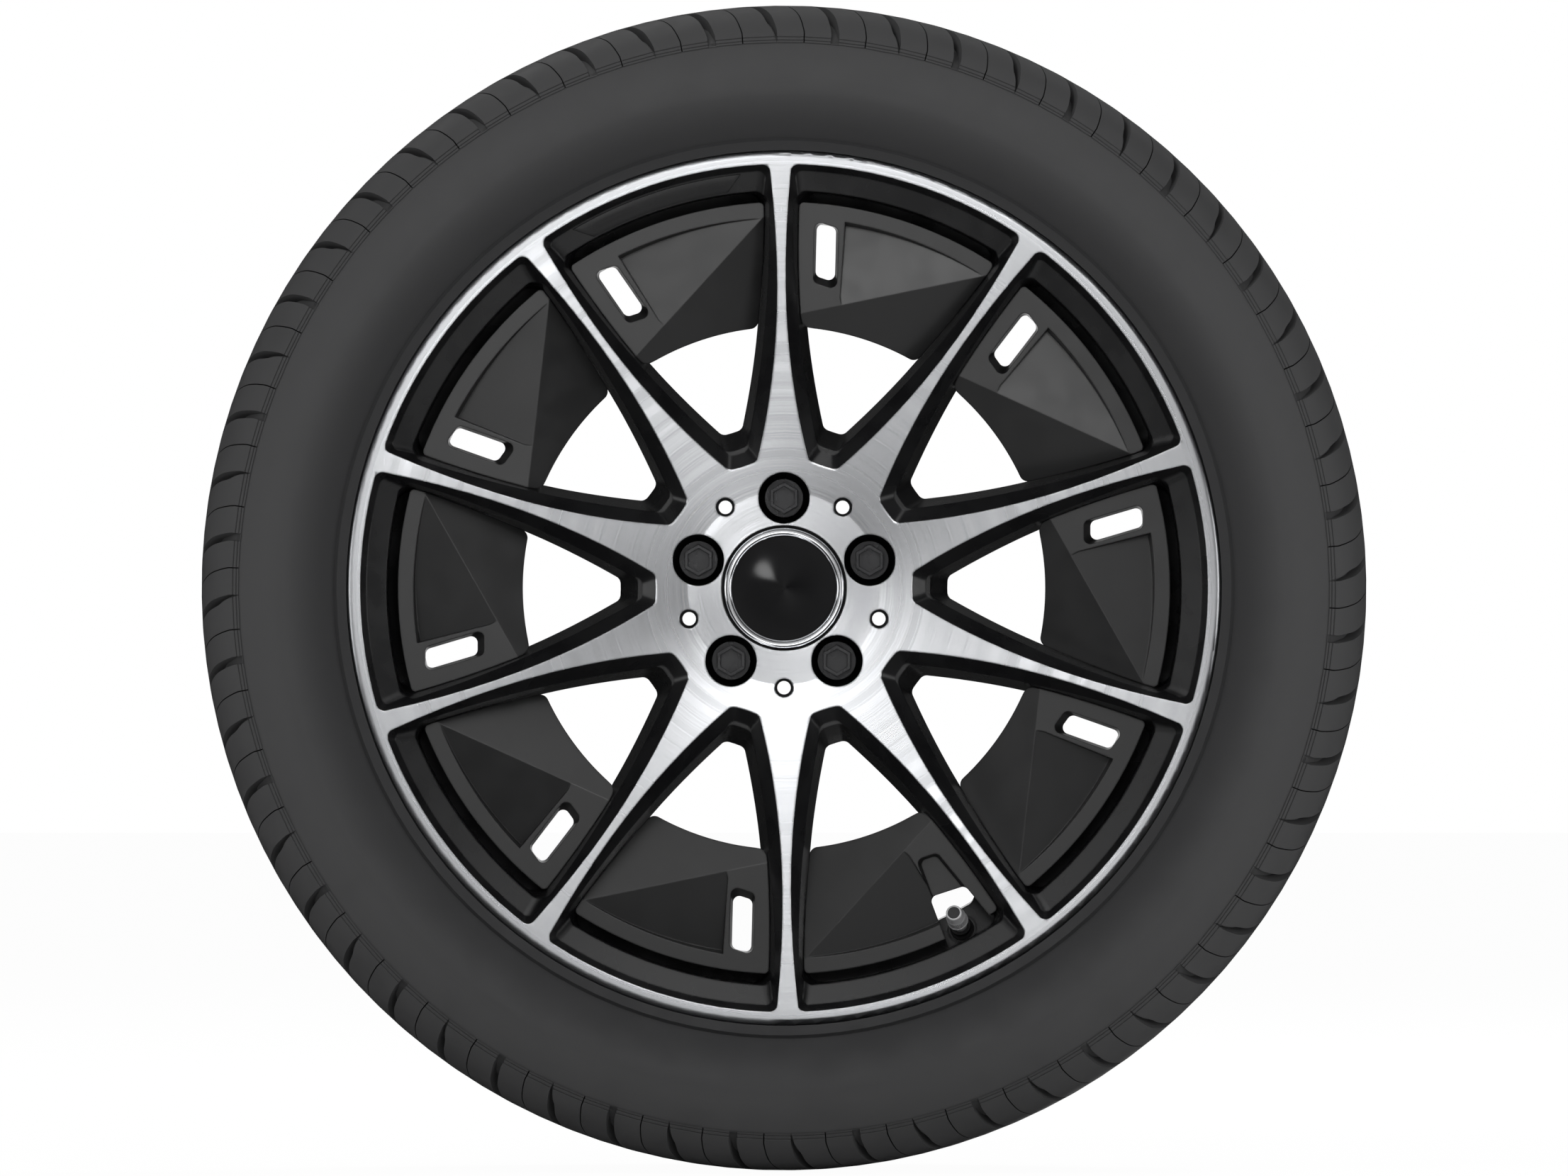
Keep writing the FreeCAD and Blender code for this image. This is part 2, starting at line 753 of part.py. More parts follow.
def valve_seat(body):
    """The valve hole, with a flat seat on both sides of the well's front wall."""
    sketch = new_sketch(body, "valve_seat_profile", "YZ_Plane")
    about_axle = FreeCAD.Rotation(FreeCAD.Vector(1, 0, 0), d.valve_angle.number)
    sketch.AttachmentOffset = FreeCAD.Placement(FreeCAD.Vector(), about_axle)
    bind(sketch, "AttachmentOffset.Rotation.Angle", d.valve_angle)

    def place(out, aside):
        return (
            valve_level - out * cosine(valve_lean) + aside * sine(valve_lean),
            valve_radius - out * sine(valve_lean) - aside * cosine(valve_lean),
        )

    spot, hole, nothing = d.valve_spot / 2, d.valve_hole / 2, as_size(0)
    inside = -d.valve_spot_depth - d.valve_web
    cut_end = -d.valve_spot_run
    corners = [
        (cut_end, nothing),
        (cut_end, spot),
        (inside, spot),
        (inside, hole),
        (-d.valve_spot_depth, hole),
        (-d.valve_spot_depth, spot),
        (d.stem_length, spot),
        (d.stem_length, nothing),
    ]
    draw_profile(sketch, [place(out, aside) for out, aside in corners])
    ends = [place(out, nothing) for out in (cut_end, d.stem_length)]
    points = [vector(y.number, r.number) for y, r in ends]
    axis = sketch.addGeometry(Part.LineSegment(*points), True)
    for end, (y, r) in zip((1, 2), ends):
        pin(sketch, axis, end, y, r)
    feature = body.newObject("PartDesign::Groove", "valve_seat")
    feature.Profile = sketch
    feature.ReferenceAxis = (sketch, ["Axis0"])
    feature.Angle = 360
    return feature


def alloy_wheel():
    body = new_body("alloy_wheel")
    revolve(body, "blank", wheel_profile())
    front = lip_level - d.cut_margin
    step_level = lip_level + d.rim_step_fall
    ledge_level = lip_level + d.rim_ledge_fall
    step_slope = (rim_edge_radius - rim_step_radius) / d.rim_step_fall
    bevel = window_cut(
        body,
        "window_bevel",
        [front, step_level, ledge_level, ledge_level + d.rim_ledge_fall],
        bevel_widths,
        d.edge_bow,
        [rim_edge_radius + step_slope * d.cut_margin, rim_step_radius]
        + [rim_ledge_radius, rim_wall_radius],
        d.window_corner_rim,
        bevel_hub,
    )
    flank = window_cut(
        body,
        "window_flank",
        [front, wall_top_level, well_front_level, lip_level + d.hub_back_fall + d.cut_margin / 2],
        flank_widths,
        d.flank_bow,
        [rim_ledge_radius, rim_wall_radius, well_radius, well_radius],
        d.window_corner_ledge,
        flank_hub,
    )
    pattern(body, "windows", [bevel, flank], d.spoke_count)
    hole = bolt_hole(body)
    vent = vent_hole(body)
    pattern(body, "hub_holes", [hole, vent], d.bolt_count)
    body.Tip = valve_seat(body)
    return body


def centre_cap():
    """The clip-in cap: a black body with spring legs, a bright bezel, a domed disc and a wire ring."""
    recess = cap_recess - d.fit
    seat = hub_front + d.cap_seat_depth - d.fit
    flange_front = seat - d.cap_flange
    ring_inner = recess - d.cap_ring_width
    ring_front = hub_front - d.cap_ring_proud
    leg_outer = cap_bore - d.cap_bead - d.fit
    leg_inner = leg_outer - d.cap_leg_wall
    leg_end = seat + d.cap_leg_length
    wire = d.cap_wire / 2
    wire_place = leg_end - d.cap_leg_wall
    body = new_body("centre_cap_body")
    revolve(
        body,
        "cap_shell",
        [
            (0, seat),
            (leg_inner, seat),
            (leg_inner, wire_place + wire + d.fit),
            (leg_inner - d.cap_bead, leg_end),
            (leg_outer, leg_end),
            (leg_outer + d.cap_bead, leg_end - d.cap_leg_wall),
            (leg_outer, leg_end - d.cap_leg_wall * 2),
            (leg_outer, seat),
            (recess, seat),
            (recess, flange_front),
            (0, flange_front),
        ],
    )
    slot_sketch = new_sketch(body, "leg_slot_outline", "XZ_Plane", -leg_end)
    half_slot = d.cap_leg_slot / 2
    draw_profile(
        slot_sketch,
        [
            (-half_slot, leg_inner - d.cap_wire),
            (half_slot, leg_inner - d.cap_wire),
            (half_slot, recess),
            (-half_slot, recess),
        ],
    )
    slot = body.newObject("PartDesign::Pocket", "leg_slot")
    slot.Profile = slot_sketch
    slot.Reversed = True
    slot.Length = (d.cap_leg_length - d.cap_leg_wall).number
    bind(slot, "Length", d.cap_leg_length - d.cap_leg_wall)
    pattern(body, "leg_slots", [slot], d.cap_leg_count)

    ring = new_body("centre_cap_ring")
    crown = d.cap_ring_width / 2 + d.fit
    revolve(
        ring,
        "bezel",
        [
            (ring_inner, flange_front),
            (recess, flange_front),
            (recess, hub_front, crown),
            (ring_inner, hub_front),
        ],
    )

    disc = new_body("centre_cap_disc")
    disc_radius = ring_inner - d.fit
    disc_front = flange_front - d.cap_disc_edge
    dome_round = (disc_radius * disc_radius + d.cap_dome * d.cap_dome) / (d.cap_dome * 2)
    dome_centre = disc_front - d.cap_dome + dome_round
    dome_flat_level = dome_centre - root(dome_round * dome_round - d.cap_dome_flat * d.cap_dome_flat)
    revolve(
        disc,
        "dome",
        [
            (0, flange_front),
            (disc_radius, flange_front),
            (disc_radius, disc_front, dome_round),
            (d.cap_dome_flat, dome_flat_level),
            (0, dome_flat_level),
        ],
    )

    spring = new_body("centre_cap_spring")
    wire_ring = leg_inner - wire - d.fit / 2
    revolve(
        spring,
        "wire",
        [
            (wire_ring + wire, wire_place, wire),
            (wire_ring - wire, wire_place, wire),
        ],
    )
    return [body, ring, disc, spring]


def wheel_bolt(name):
    """One bolt on the axle: turned collar, shank and thread, with a hexagon head and a hexagon recess."""
    collar = d.bolt_collar / 2
    shank = d.bolt_shank / 2
    thread = d.bolt_thread / 2
    slope = (d.bolt_well - d.bolt_hole) / 2 / d.bolt_seat_depth
    seat_foot = hub_level - d.bolt_web - d.fit
    collar_level = seat_foot - (collar - d.bolt_hole / 2) / slope
    collar_top = collar_level - d.bolt_collar_height
    head_top = collar_top - d.bolt_hex_height
    thread_start = hub_level + d.fit
    tip = hub_level + d.bolt_reach
    body = new_body(name)
    revolve(
        body,
        "bolt_turned",
        [
            (0, collar_top),
            (collar, collar_top),
            (collar, collar_level),
            (shank, collar_level + (collar - shank) / slope),
            (shank, thread_start),
            (thread, thread_start + thread - shank),
            (thread, tip - d.bolt_tip),
            (thread - d.bolt_tip, tip),
            (0, tip),
        ],
    )
    hexes = (
        ("hex_head", d.bolt_hex, collar_top, d.bolt_hex_height, "PartDesign::Pad"),
        ("hex_recess", d.bolt_recess, head_top, d.bolt_recess_depth, "PartDesign::Pocket"),
    )
    for feature_name, flats, level, depth, kind in hexes:
        sketch = new_sketch(body, f"{feature_name}_outline", "XZ_Plane", -level)
        corner = flats / 2 / cosine(30)
        draw_profile(sketch, [(corner * sine(60 * n), corner * cosine(60 * n)) for n in range(6)])
        feature = body.newObject(kind, feature_name)
        feature.Profile = sketch
        feature.Length = depth.number
        bind(feature, "Length", depth)
    return body


def wheel_bolts():
    """The bolts in their wells, each its own solid, grouped as one piece of hardware."""
    bodies = []
    for index in range(int(d.bolt_count.number)):
        name = f"wheel_bolt_{index + 1}"
        body = copy_of(bodies[0], name) if bodies else wheel_bolt(name)
        angle = 360 * as_size(index) / d.bolt_count
        bind(body, "Placement.Base.x", bolt_radius * sine(angle))
        bind(body, "Placement.Base.z", bolt_radius * cosine(angle))
        bodies.append(body)
    group = doc.addObject("Part::Compound", "wheel_bolts")
    group.Label = "wheel_bolts"
    group.Links = bodies
    return [group]


def crown_radius(place):
    """The tread's radius at a distance from the tyre's middle."""
    share = place / tread_half
    return tyre_radius - d.crown_drop * share * share


def main_groove(place, sign):
    """The four corners of a groove round the tread, from its outer side to its inner side."""
    half, foot = d.main_groove_width / 2, d.main_groove_foot / 2
    floor = crown_radius(place) - d.main_groove_depth
    corners = [
        (crown_radius(place + half), place + half),
        (floor, place + foot),
        (floor, place - foot),
        (crown_radius(place - half), place - half),
    ]
    return [(r, -y) for r, y in corners] if sign < 0 else [(r, y) for r, y in reversed(corners)]


def tyre_profile():
    """The tyre's section: down the outside of the rear half, up its liner, and the same at the front."""
    heel = bead_level - d.fit
    toe = heel - d.bead_toe
    seat_slope = d.bead_seat_rise / d.bead_seat_width
    toe_radius = rim_radius - seat_slope * (d.bead_toe + d.fit) + d.fit
    flange_foot = lip_radius - d.flange_round
    rear_half = [
        (crown_radius(tread_half), tread_half, d.shoulder_round),
        (shoulder_radius, shoulder_level),
        (ledge_radius, ledge_level),
        (ledge_radius, ledge_level - d.ledge_step, d.sidewall_round),
        (belly_radius, belly_level, d.sidewall_round),
        (protector_radius + d.protector_fall, protector_level - d.protector_fall),
        (protector_radius, protector_level),
        (lip_radius + d.fit, protector_level - d.protector_fall),
        (lip_radius + d.fit, bead_level + d.flange_round, -(d.flange_round + d.fit)),
        (flange_foot, heel),
        (rim_radius + d.fit, heel),
        (toe_radius, toe),
        (rim_radius + d.bead_toe_height, toe),
        (rim_radius + d.bead_height, bead_level - d.sidewall_wall, -d.sidewall_round),
        (belly_radius, belly_level - d.sidewall_wall, -d.sidewall_round),
        (shoulder_radius - d.tread_wall / 2, shoulder_level - d.tread_wall, -d.shoulder_round),
        (tyre_radius - d.crown_drop - d.tread_wall, tread_half - d.tread_wall),
    ]
    front_half = []
    for index in range(len(rear_half) - 1, -1, -1):
        corner = rear_half[index]
        before = rear_half[index - 1] if index else ()
        bow = (before[2],) if len(before) == 3 else ()
        front_half.append((corner[0], -corner[1]) + bow)
    tread = []
    for place in (d.outer_groove_place, d.inner_groove_place):
        tread += main_groove(place, -1)
    for place in (d.inner_groove_place, d.outer_groove_place):
        tread += main_groove(place, 1)
    return rear_half + front_half + tread


def groove_stations(pointed):
    """Where a shoulder groove passes, from the sidewall ledge over the shoulder into the tread.

    Each station is (distance from the tyre's middle, floor radius, sweep in degrees, width).
    A pointed groove closes to a tip at the ledge.
    """
    start_width = d.groove_point_width if pointed else d.groove_width
    ledge = (ledge_level + d.ledge_step, ledge_radius - d.ledge_step)
    shoulder = (shoulder_level, shoulder_radius - d.groove_ledge_depth)
    turn = (belly_level - d.groove_turn_inset, tyre_radius - d.groove_turn_drop)
    edge = (tread_half + d.groove_edge_reach, tyre_radius - d.groove_edge_drop)
    tail = (tread_half - d.groove_tail_length, tyre_radius - d.groove_tail_drop)
    return [
        ledge + (d.groove_sweep, start_width),
        shoulder + (d.groove_sweep, d.groove_width),
        turn + (d.groove_turn_sweep, d.groove_width),
        edge + (d.groove_edge_sweep, d.groove_width),
        tail + (as_size(0), d.groove_tail_width),
    ]


def shoulder_groove(body, name, start_angle, pointed, side):
    """One swept groove across a shoulder of the tread. Side is -1 at the front."""
    sketches = []
    top = tyre_radius + d.cut_margin
    for index, (place, floor, sweep, width) in enumerate(groove_stations(pointed)):
        sketch = new_sketch(body, f"{name}_section_{index + 1}", "XZ_Plane", -side * place)
        middle = start_angle + sweep
        half = width / 2 / top * (180 / math.pi)
        left, right = middle - half, middle + half
        draw_profile(
            sketch,
            [
                (floor * sine(left), floor * cosine(left)),
                (floor * sine(right), floor * cosine(right)),
                (top * sine(right), top * cosine(right)),
                (top * sine(left), top * cosine(left)),
            ],
        )
        sketches.append(sketch)
    return loft(body, name, "PartDesign::SubtractiveLoft", sketches)


def tyre():
    body = new_body("tyre")
    revolve(body, "carcass", tyre_profile())
    pitch = 360 / d.tread_pairs
    grooves = []
    for side_name, side in (("front", -1), ("rear", 1)):
        for kind, pointed, share in (("open", False, 0.25), ("pointed", True, 0.75)):
            name = f"{side_name}_{kind}_groove"
            grooves.append(shoulder_groove(body, name, pitch * share, pointed, side))
    pattern(body, "shoulder_grooves", grooves, d.tread_pairs)
    return body


def leaning(across, lean):
    """A side of a slot or notch, as its place across at any distance out from the axle."""
    slope = sine(lean) / cosine(lean)
    return lambda out: across - (out - slot_hub) * slope


def drafted_hole(body, name, levels, ends, sides, draft, sill_draft):
    """A four-sided hole through an insert, which closes in from the first level to the second.

    Ends are its distances out from the axle, and sides are its left and right sides from leaning.
    """
    sketches = []
    hub, rim = ends
    left, right = sides
    steps = ((levels[0], as_size(0), hub), (levels[1], draft, hub + sill_draft))
    for index, (level, inset, sill) in enumerate(steps):
        sketch = new_sketch(body, f"{name}_outline_{index + 1}", "XZ_Plane", -level)
        points = [
            (right(sill) - inset, sill),
            (right(rim) - inset, rim),
            (left(rim) + inset, rim),
            (left(sill) + inset, sill),
        ]
        walls = zip(points, points[1:] + points[:1])
        draw_rounded(
            sketch,
            [
                (bowed_centre(start, end, d.side_bow), d.side_bow, False, d.slot_corner, end)
                for start, end in walls
            ],
        )
        sketches.append(sketch)
    return loft(body, name, "PartDesign::SubtractiveLoft", sketches)


def facet_pocket(body, name, tilt, sink, corners, forwards):
    """Cuts from a plane through the crease, tilted about it and sunk behind it, along its normal.

    Corners are (along the crease, out from it).
    """
    sketch = new_sketch(body, f"{name}_outline", "XZ_Plane")
    lie = FreeCAD.Rotation(FreeCAD.Vector(0, 0, 1), d.crease_angle.number)
    lie = lie * FreeCAD.Rotation(FreeCAD.Vector(1, 0, 0), tilt.number)
    base = FreeCAD.Vector(d.crease_across.number, crease_out.number, -insert_front.number)
    base = base + lie.multVec(FreeCAD.Vector(0, 0, -as_size(sink).number))
    sketch.AttachmentOffset = FreeCAD.Placement(base, lie)
    draw_profile(sketch, corners)
    feature = body.newObject("PartDesign::Pocket", name)
    feature.Profile = sketch
    feature.Reversed = forwards
    feature.Length = d.insert_height.number
    bind(feature, "Length", d.insert_height)
    return feature


def in_crease(across, out):
    """A place in the window's frame as (along the crease, out from it)."""
    x, y = as_size(across) - d.crease_across, as_size(out) - crease_out
    c, s = cosine(d.crease_angle), sine(d.crease_angle)
    return x * c + y * s, y * c - x * s


def cut_facets(body, name):
    """Folds the front: an outer facet that falls away inside the rim band, and an inner facet."""
    beside_slot = leaning(d.slot_across + d.slot_width / 2 + d.insert_wall, d.slot_lean)
    foot = in_crease(beside_slot(slot_hub), slot_hub - d.insert_wall)
    head = in_crease(beside_slot(slot_rim), band_radius - d.insert_wall)
    band_end = in_crease(band_radius * sine(half_pitch), band_radius * cosine(half_pitch))
    outer = [(foot[0], 0), (d.crease_length, 0), band_end + (band_radius,), head, foot]
    facet_pocket(body, f"{name}_outer_facet", -d.outer_tilt, 0, outer, True)
    reach = d.insert_height
    far = d.crease_length + reach
    inner = [(-reach, -reach), (far, -reach), (far, 0), (-reach, 0)]
    facet_pocket(body, f"{name}_inner_facet", d.inner_tilt, 0, inner, True)


def hollow_back(body, name):
    """Leaves an even wall behind both facets, with a rib along the crease and a rim all round."""
    wall = d.insert_wall
    rim_inside = insert_rim - wall
    hub_inside = insert_hub + wall
    rib = wall / 2
    widths = flank_widths(insert_back, d.fit + wall)
    beside_slot = leaning(d.slot_across + d.slot_width / 2 + wall * 2, d.slot_lean)

    def inside_edge(station):
        share = (station - d.spoke_root) / (spoke_tip - d.spoke_root)
        return spoke_edge(1, station, between(widths[3], widths[2], share))

    top_right = in_crease(*inside_edge(rim_inside - wall))
    crease_right = in_crease(*inside_edge(between(hub_inside, rim_inside, d.rib_end)))
    low_right = inside_edge(hub_inside + wall * 2)
    low_left = in_crease(-low_right[0] + wall * 2, low_right[1])
    slot_foot = in_crease(beside_slot(slot_hub), slot_hub)
    slot_head = in_crease(beside_slot(slot_rim), rim_inside - wall)
    outer = [
        (slot_foot[0], rib),
        (crease_right[0], rib),
        top_right + (rim_inside,),
        slot_head,
        slot_foot,
    ]
    facet_pocket(body, f"{name}_outer_hollow", -d.outer_tilt, wall, outer, False)
    inner = [
        (low_left[0] + wall, -rib),
        low_left + (-hub_inside,),
        in_crease(*low_right),
        (crease_right[0], -rib),
    ]
    facet_pocket(body, f"{name}_inner_hollow", d.inner_tilt, wall, inner, False)


def vent_slot(body, name):
    """The long slot through the plain inserts."""
    through = insert_front - d.insert_wall, insert_back + d.insert_wall
    half = d.slot_width / 2
    sides = leaning(d.slot_across - half, d.slot_lean), leaning(d.slot_across + half, d.slot_lean)
    ends = slot_hub, slot_rim
    drafted_hole(body, f"{name}_slot", through, ends, sides, d.slot_draft, d.slot_sill_draft)


def valve_notch(body, name):
    """Room for the valve: a notch that is open at the rim, and a shallow lobe for fingers."""
    through = insert_front - d.insert_wall, insert_back + d.insert_wall
    sunk = insert_front - d.insert_wall, insert_front + d.lobe_depth
    sides = leaning(d.notch_left, d.notch_left_lean), leaning(d.notch_right, d.notch_right_lean)
    notch_ends = notch_break, rim_ledge_radius
    lobe_ends = slot_hub, notch_break + d.slot_corner * 2
    drafted_hole(body, f"{name}_notch", through, notch_ends, sides, as_size(0), as_size(0))
    drafted_hole(body, f"{name}_lobe", sunk, lobe_ends, sides, d.slot_draft, d.slot_draft)


def aero_insert(name, opening):
    """One folded black panel that fills the outer part of a window, with its slot or notch."""
    body = new_body(name)
    outlines = []
    for order, level in enumerate((insert_front, insert_back)):
        sketch = new_sketch(body, f"{name}_outline_{order + 1}", "XZ_Plane", -level)
        sides = window_sides(
            flank_widths(level, d.fit),
            d.flank_bow,
            insert_rim,
            d.insert_corner_rim,
            insert_hub,
            d.insert_corner_hub,
            True,
        )
        draw_rounded(sketch, sides)
        outlines.append(sketch)
    loft(body, f"{name}_plug", "PartDesign::AdditiveLoft", outlines)
    cut_facets(body, name)
    hollow_back(body, name)
    opening(body, name)
    return body


def aero_inserts():
    """One insert for each window. The one at the valve has a notch in place of the slot."""
    valve_window = int(d.valve_angle.number // (2 * half_pitch.number))
    plain = None
    bodies = []
    for index in range(int(d.spoke_count.number)):
        name = f"aero_insert_{index + 1}"
        if index == valve_window:
            body = aero_insert("aero_insert_valve", valve_notch)
        elif plain:
            body = copy_of(plain, name)
        else:
            body = plain = aero_insert(name, vent_slot)
        turn_about_axle(body, half_pitch * (2 * index + 1))
        bodies.append(body)
    return bodies


def set_on_valve(body):
    """Moves a piece modelled on the axle to the valve's own axis."""
    turn = FreeCAD.Rotation(FreeCAD.Vector(0, 1, 0), d.valve_angle.number)
    lean = FreeCAD.Rotation(FreeCAD.Vector(1, 0, 0), valve_lean.number)
    base = turn.multVec(FreeCAD.Vector(0, valve_level.number, valve_radius.number))
    body.Placement = FreeCAD.Placement(base, turn * lean)


def valve_piece(name, corners):
    """A turned piece of the valve: (radius, how far out along the valve)."""
    body = new_body(name)
    revolve(body, name + "_turned", [(corner[0], -corner[1]) for corner in corners])
    set_on_valve(body)
    return body


def valve():
    nothing = as_size(0)
    hole = d.valve_hole / 2
    stem = d.stem_diameter / 2
    tip = d.tip_diameter / 2
    bore = d.stem_bore / 2
    air = d.air_bore / 2
    spot = d.valve_spot / 2 - d.fit * 3
    outer_seat = -d.valve_spot_depth
    inner_seat = outer_seat - d.valve_web
    flange = inner_seat - d.small_fit
    head = flange - d.valve_flange - d.small_fit
    back = head - d.valve_head
    screw = d.screw_diameter / 2
    tip_foot = d.stem_length - d.tip_length
    bore_floor = d.stem_length - d.stem_bore_depth
    stem_piece = valve_piece(
        "valve_stem",
        [
            (screw + d.small_fit, back),
            (spot, back),
            (spot, head),
            (stem, head),
            (stem, tip_foot),
            (tip, tip_foot + stem - tip),
            (tip, d.stem_length),
            (bore, d.stem_length),
            (bore, bore_floor),
            (air, bore_floor),
            (air, back + d.screw_bite + d.fit),
            (screw + d.small_fit, back + d.screw_bite + d.fit),
        ],
    )
    grommet = valve_piece(
        "valve_grommet",
        [
            (stem + d.small_fit, head + d.small_fit),
            (spot, head + d.small_fit),
            (spot, flange),
            (hole - d.small_fit, flange),
            (hole - d.small_fit, outer_seat),
            (stem + d.small_fit, outer_seat),
        ],
    )
    nut_seat = outer_seat + d.small_fit
    nut = valve_piece(
        "valve_nut",
        [
            (stem + d.small_fit, nut_seat),
            (d.nut_diameter / 2, nut_seat),
            (d.nut_diameter / 2, nut_seat + d.nut_collar),
            (d.nut_waist / 2, nut_seat + d.nut_collar + (d.nut_diameter - d.nut_waist) / 2),
            (d.nut_waist / 2, nut_seat + d.nut_height),
            (stem + d.small_fit, nut_seat + d.nut_height),
        ],
    )
    core_top = d.stem_length - d.core_sink
    core_foot = core_top - d.core_length
    pin_hole = d.pin_diameter / 2 + d.small_fit
    core = valve_piece(
        "valve_core",
        [
            (pin_hole, core_foot),
            (bore - d.small_fit, core_foot),
            (bore - d.small_fit, core_top),
            (pin_hole, core_top),
        ],
    )
    plunger_top = core_foot - d.small_fit
    pin_piece = valve_piece(
        "valve_core_pin",
        [
            (nothing, plunger_top - d.plunger_length),
            (d.plunger_diameter / 2, plunger_top - d.plunger_length),
            (d.plunger_diameter / 2, plunger_top),
            (d.pin_diameter / 2, plunger_top),
            (d.pin_diameter / 2, d.stem_length - d.pin_sink),
            (nothing, d.stem_length - d.pin_sink),
        ],
    )
    seal_foot = d.stem_length + d.small_fit
    seal_top = seal_foot + d.seal_thickness
    thread = d.valve_cap_bore / 2
    seal = valve_piece(
        "valve_cap_seal",
        [
            (nothing, seal_foot),
            (thread - d.small_fit, seal_foot),
            (thread - d.small_fit, seal_top),
            (nothing, seal_top),
        ],
    )
    roof = seal_top + d.small_fit
    foot = roof + d.valve_cap_roof - d.valve_cap_length
    cap = valve_piece(
        "valve_cap",
        [
            (d.valve_cap_lead_bore / 2, foot),
            (d.valve_cap_base / 2, foot),
            (d.valve_cap_base / 2, foot + d.valve_cap_skirt),
            (d.valve_cap_top / 2, foot + d.valve_cap_length),
            (nothing, foot + d.valve_cap_length),
            (nothing, roof),
            (thread, roof),
            (thread, foot + d.valve_cap_lead),
            (d.valve_cap_lead_bore / 2, foot + d.valve_cap_lead),
        ],
    )
    return [stem_piece, grommet, nut, core, pin_piece, seal, cap] + pressure_sensor(back)


def pressure_sensor(stem_back):
    """The sensor housing on the inner end of the valve, with the screw that holds it."""
    seat = stem_back - d.small_fit
    rear = seat - d.sensor_depth
    screw = d.screw_diameter / 2
    head = d.screw_head / 2
    floor = rear + d.screw_head_height + d.fit
    body = new_body("pressure_sensor")
    sketch = new_sketch(body, "sensor_outline", "XZ_Plane", rear)
    half_length, half_height = d.sensor_length / 2, d.sensor_height / 2
    inset = d.sensor_corner
    draw_profile(
        sketch,
        [
            (half_length, inset - half_height),
            (half_length, half_height - inset, inset),
            (half_length - inset, half_height),
            (inset - half_length, half_height, inset),
            (-half_length, half_height - inset),
            (-half_length, inset - half_height, inset),
            (inset - half_length, -half_height),
            (half_length - inset, -half_height, inset),
        ],
    )
    block = body.newObject("PartDesign::Pad", "sensor_block")
    block.Profile = sketch
    block.Length = d.sensor_depth.number
    bind(block, "Length", d.sensor_depth)
    hole_sketch = new_sketch(body, "sensor_hole_profile", "XY_Plane")
    corners = [
        (0, -seat - d.fit),
        (screw + d.small_fit, -seat - d.fit),
        (screw + d.small_fit, -floor),
        (head + d.small_fit, -floor),
        (head + d.small_fit, -rear + d.fit),
        (0, -rear + d.fit),
    ]
    body.Tip = groove(body, "sensor_hole", hole_sketch, corners)
    set_on_valve(body)
    bolt = valve_piece(
        "sensor_screw",
        [
            (0, rear),
            (head, rear),
            (head, rear + d.screw_head_height),
            (screw, rear + d.screw_head_height),
            (screw, stem_back + d.screw_bite),
            (0, stem_back + d.screw_bite),
        ],
    )
    return [body, bolt]


def export(pieces):
    """Stops at the first object or piece that failed, and writes each piece's solids."""
    for thing in doc.Objects:
        if "Invalid" in thing.State or "Error" in thing.State:
            raise RuntimeError(f"{thing.Name} failed: {thing.State}")
    os.makedirs("parts", exist_ok=True)
    for piece in pieces:
        if piece.Shape.isNull() or not piece.Shape.isValid():
            raise RuntimeError(f"{piece.Label} has no valid shape")
    for piece in pieces:
        piece.Shape.exportStep(os.path.join("parts", piece.Label + ".step"))


pieces = [alloy_wheel()]
pieces += centre_cap()
pieces += wheel_bolts()
pieces += [tyre()]
pieces += aero_inserts()
pieces += valve()
doc.recompute()
export(pieces)
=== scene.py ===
"""The looks of an alloy wheel with its tyre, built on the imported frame.

Lengths are in metres and angles in degrees. The axle lies along Y, and the front faces -Y.
"""

import json
import logging
import math
from collections.abc import Callable, Sequence
from dataclasses import dataclass, field
from enum import Enum

import bmesh
import bpy
from mathutils import Matrix, Vector


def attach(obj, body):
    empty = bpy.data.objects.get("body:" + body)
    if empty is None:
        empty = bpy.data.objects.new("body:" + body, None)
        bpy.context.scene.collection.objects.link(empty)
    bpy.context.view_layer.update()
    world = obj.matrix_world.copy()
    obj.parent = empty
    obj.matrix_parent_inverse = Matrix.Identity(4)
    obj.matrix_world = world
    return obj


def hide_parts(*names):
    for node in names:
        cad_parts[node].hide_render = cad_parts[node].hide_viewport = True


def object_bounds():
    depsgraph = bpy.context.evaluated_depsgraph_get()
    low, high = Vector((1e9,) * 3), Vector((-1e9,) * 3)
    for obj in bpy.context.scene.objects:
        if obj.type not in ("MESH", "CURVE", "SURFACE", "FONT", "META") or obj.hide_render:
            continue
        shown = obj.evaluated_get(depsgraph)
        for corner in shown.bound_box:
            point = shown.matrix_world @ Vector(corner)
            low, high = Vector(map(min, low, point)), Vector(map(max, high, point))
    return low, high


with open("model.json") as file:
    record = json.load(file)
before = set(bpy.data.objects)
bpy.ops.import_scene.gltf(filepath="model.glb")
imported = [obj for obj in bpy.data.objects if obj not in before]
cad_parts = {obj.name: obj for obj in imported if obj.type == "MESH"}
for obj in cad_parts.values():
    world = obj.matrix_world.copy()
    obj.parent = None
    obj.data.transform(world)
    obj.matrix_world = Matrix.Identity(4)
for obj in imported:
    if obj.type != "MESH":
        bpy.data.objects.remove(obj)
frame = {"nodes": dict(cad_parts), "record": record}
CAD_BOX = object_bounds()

LOG = logging.getLogger("alloy_wheel")
MERGE = 1e-6
HALF_TURN = 180.0
EDGE_SAMPLES = 4
SLOW_SHARE = 0.03
BAND_SHARE = 0.11
GLOSS_RANGE = (0.3, 0.7)
TONE_RANGE = (0.35, 0.65)
RING_RANGE = (0.7, 1.3)
AXLE = (0.0, 1.0, 0.0)
MIDDLE = (0.0, 0.0, 0.0)
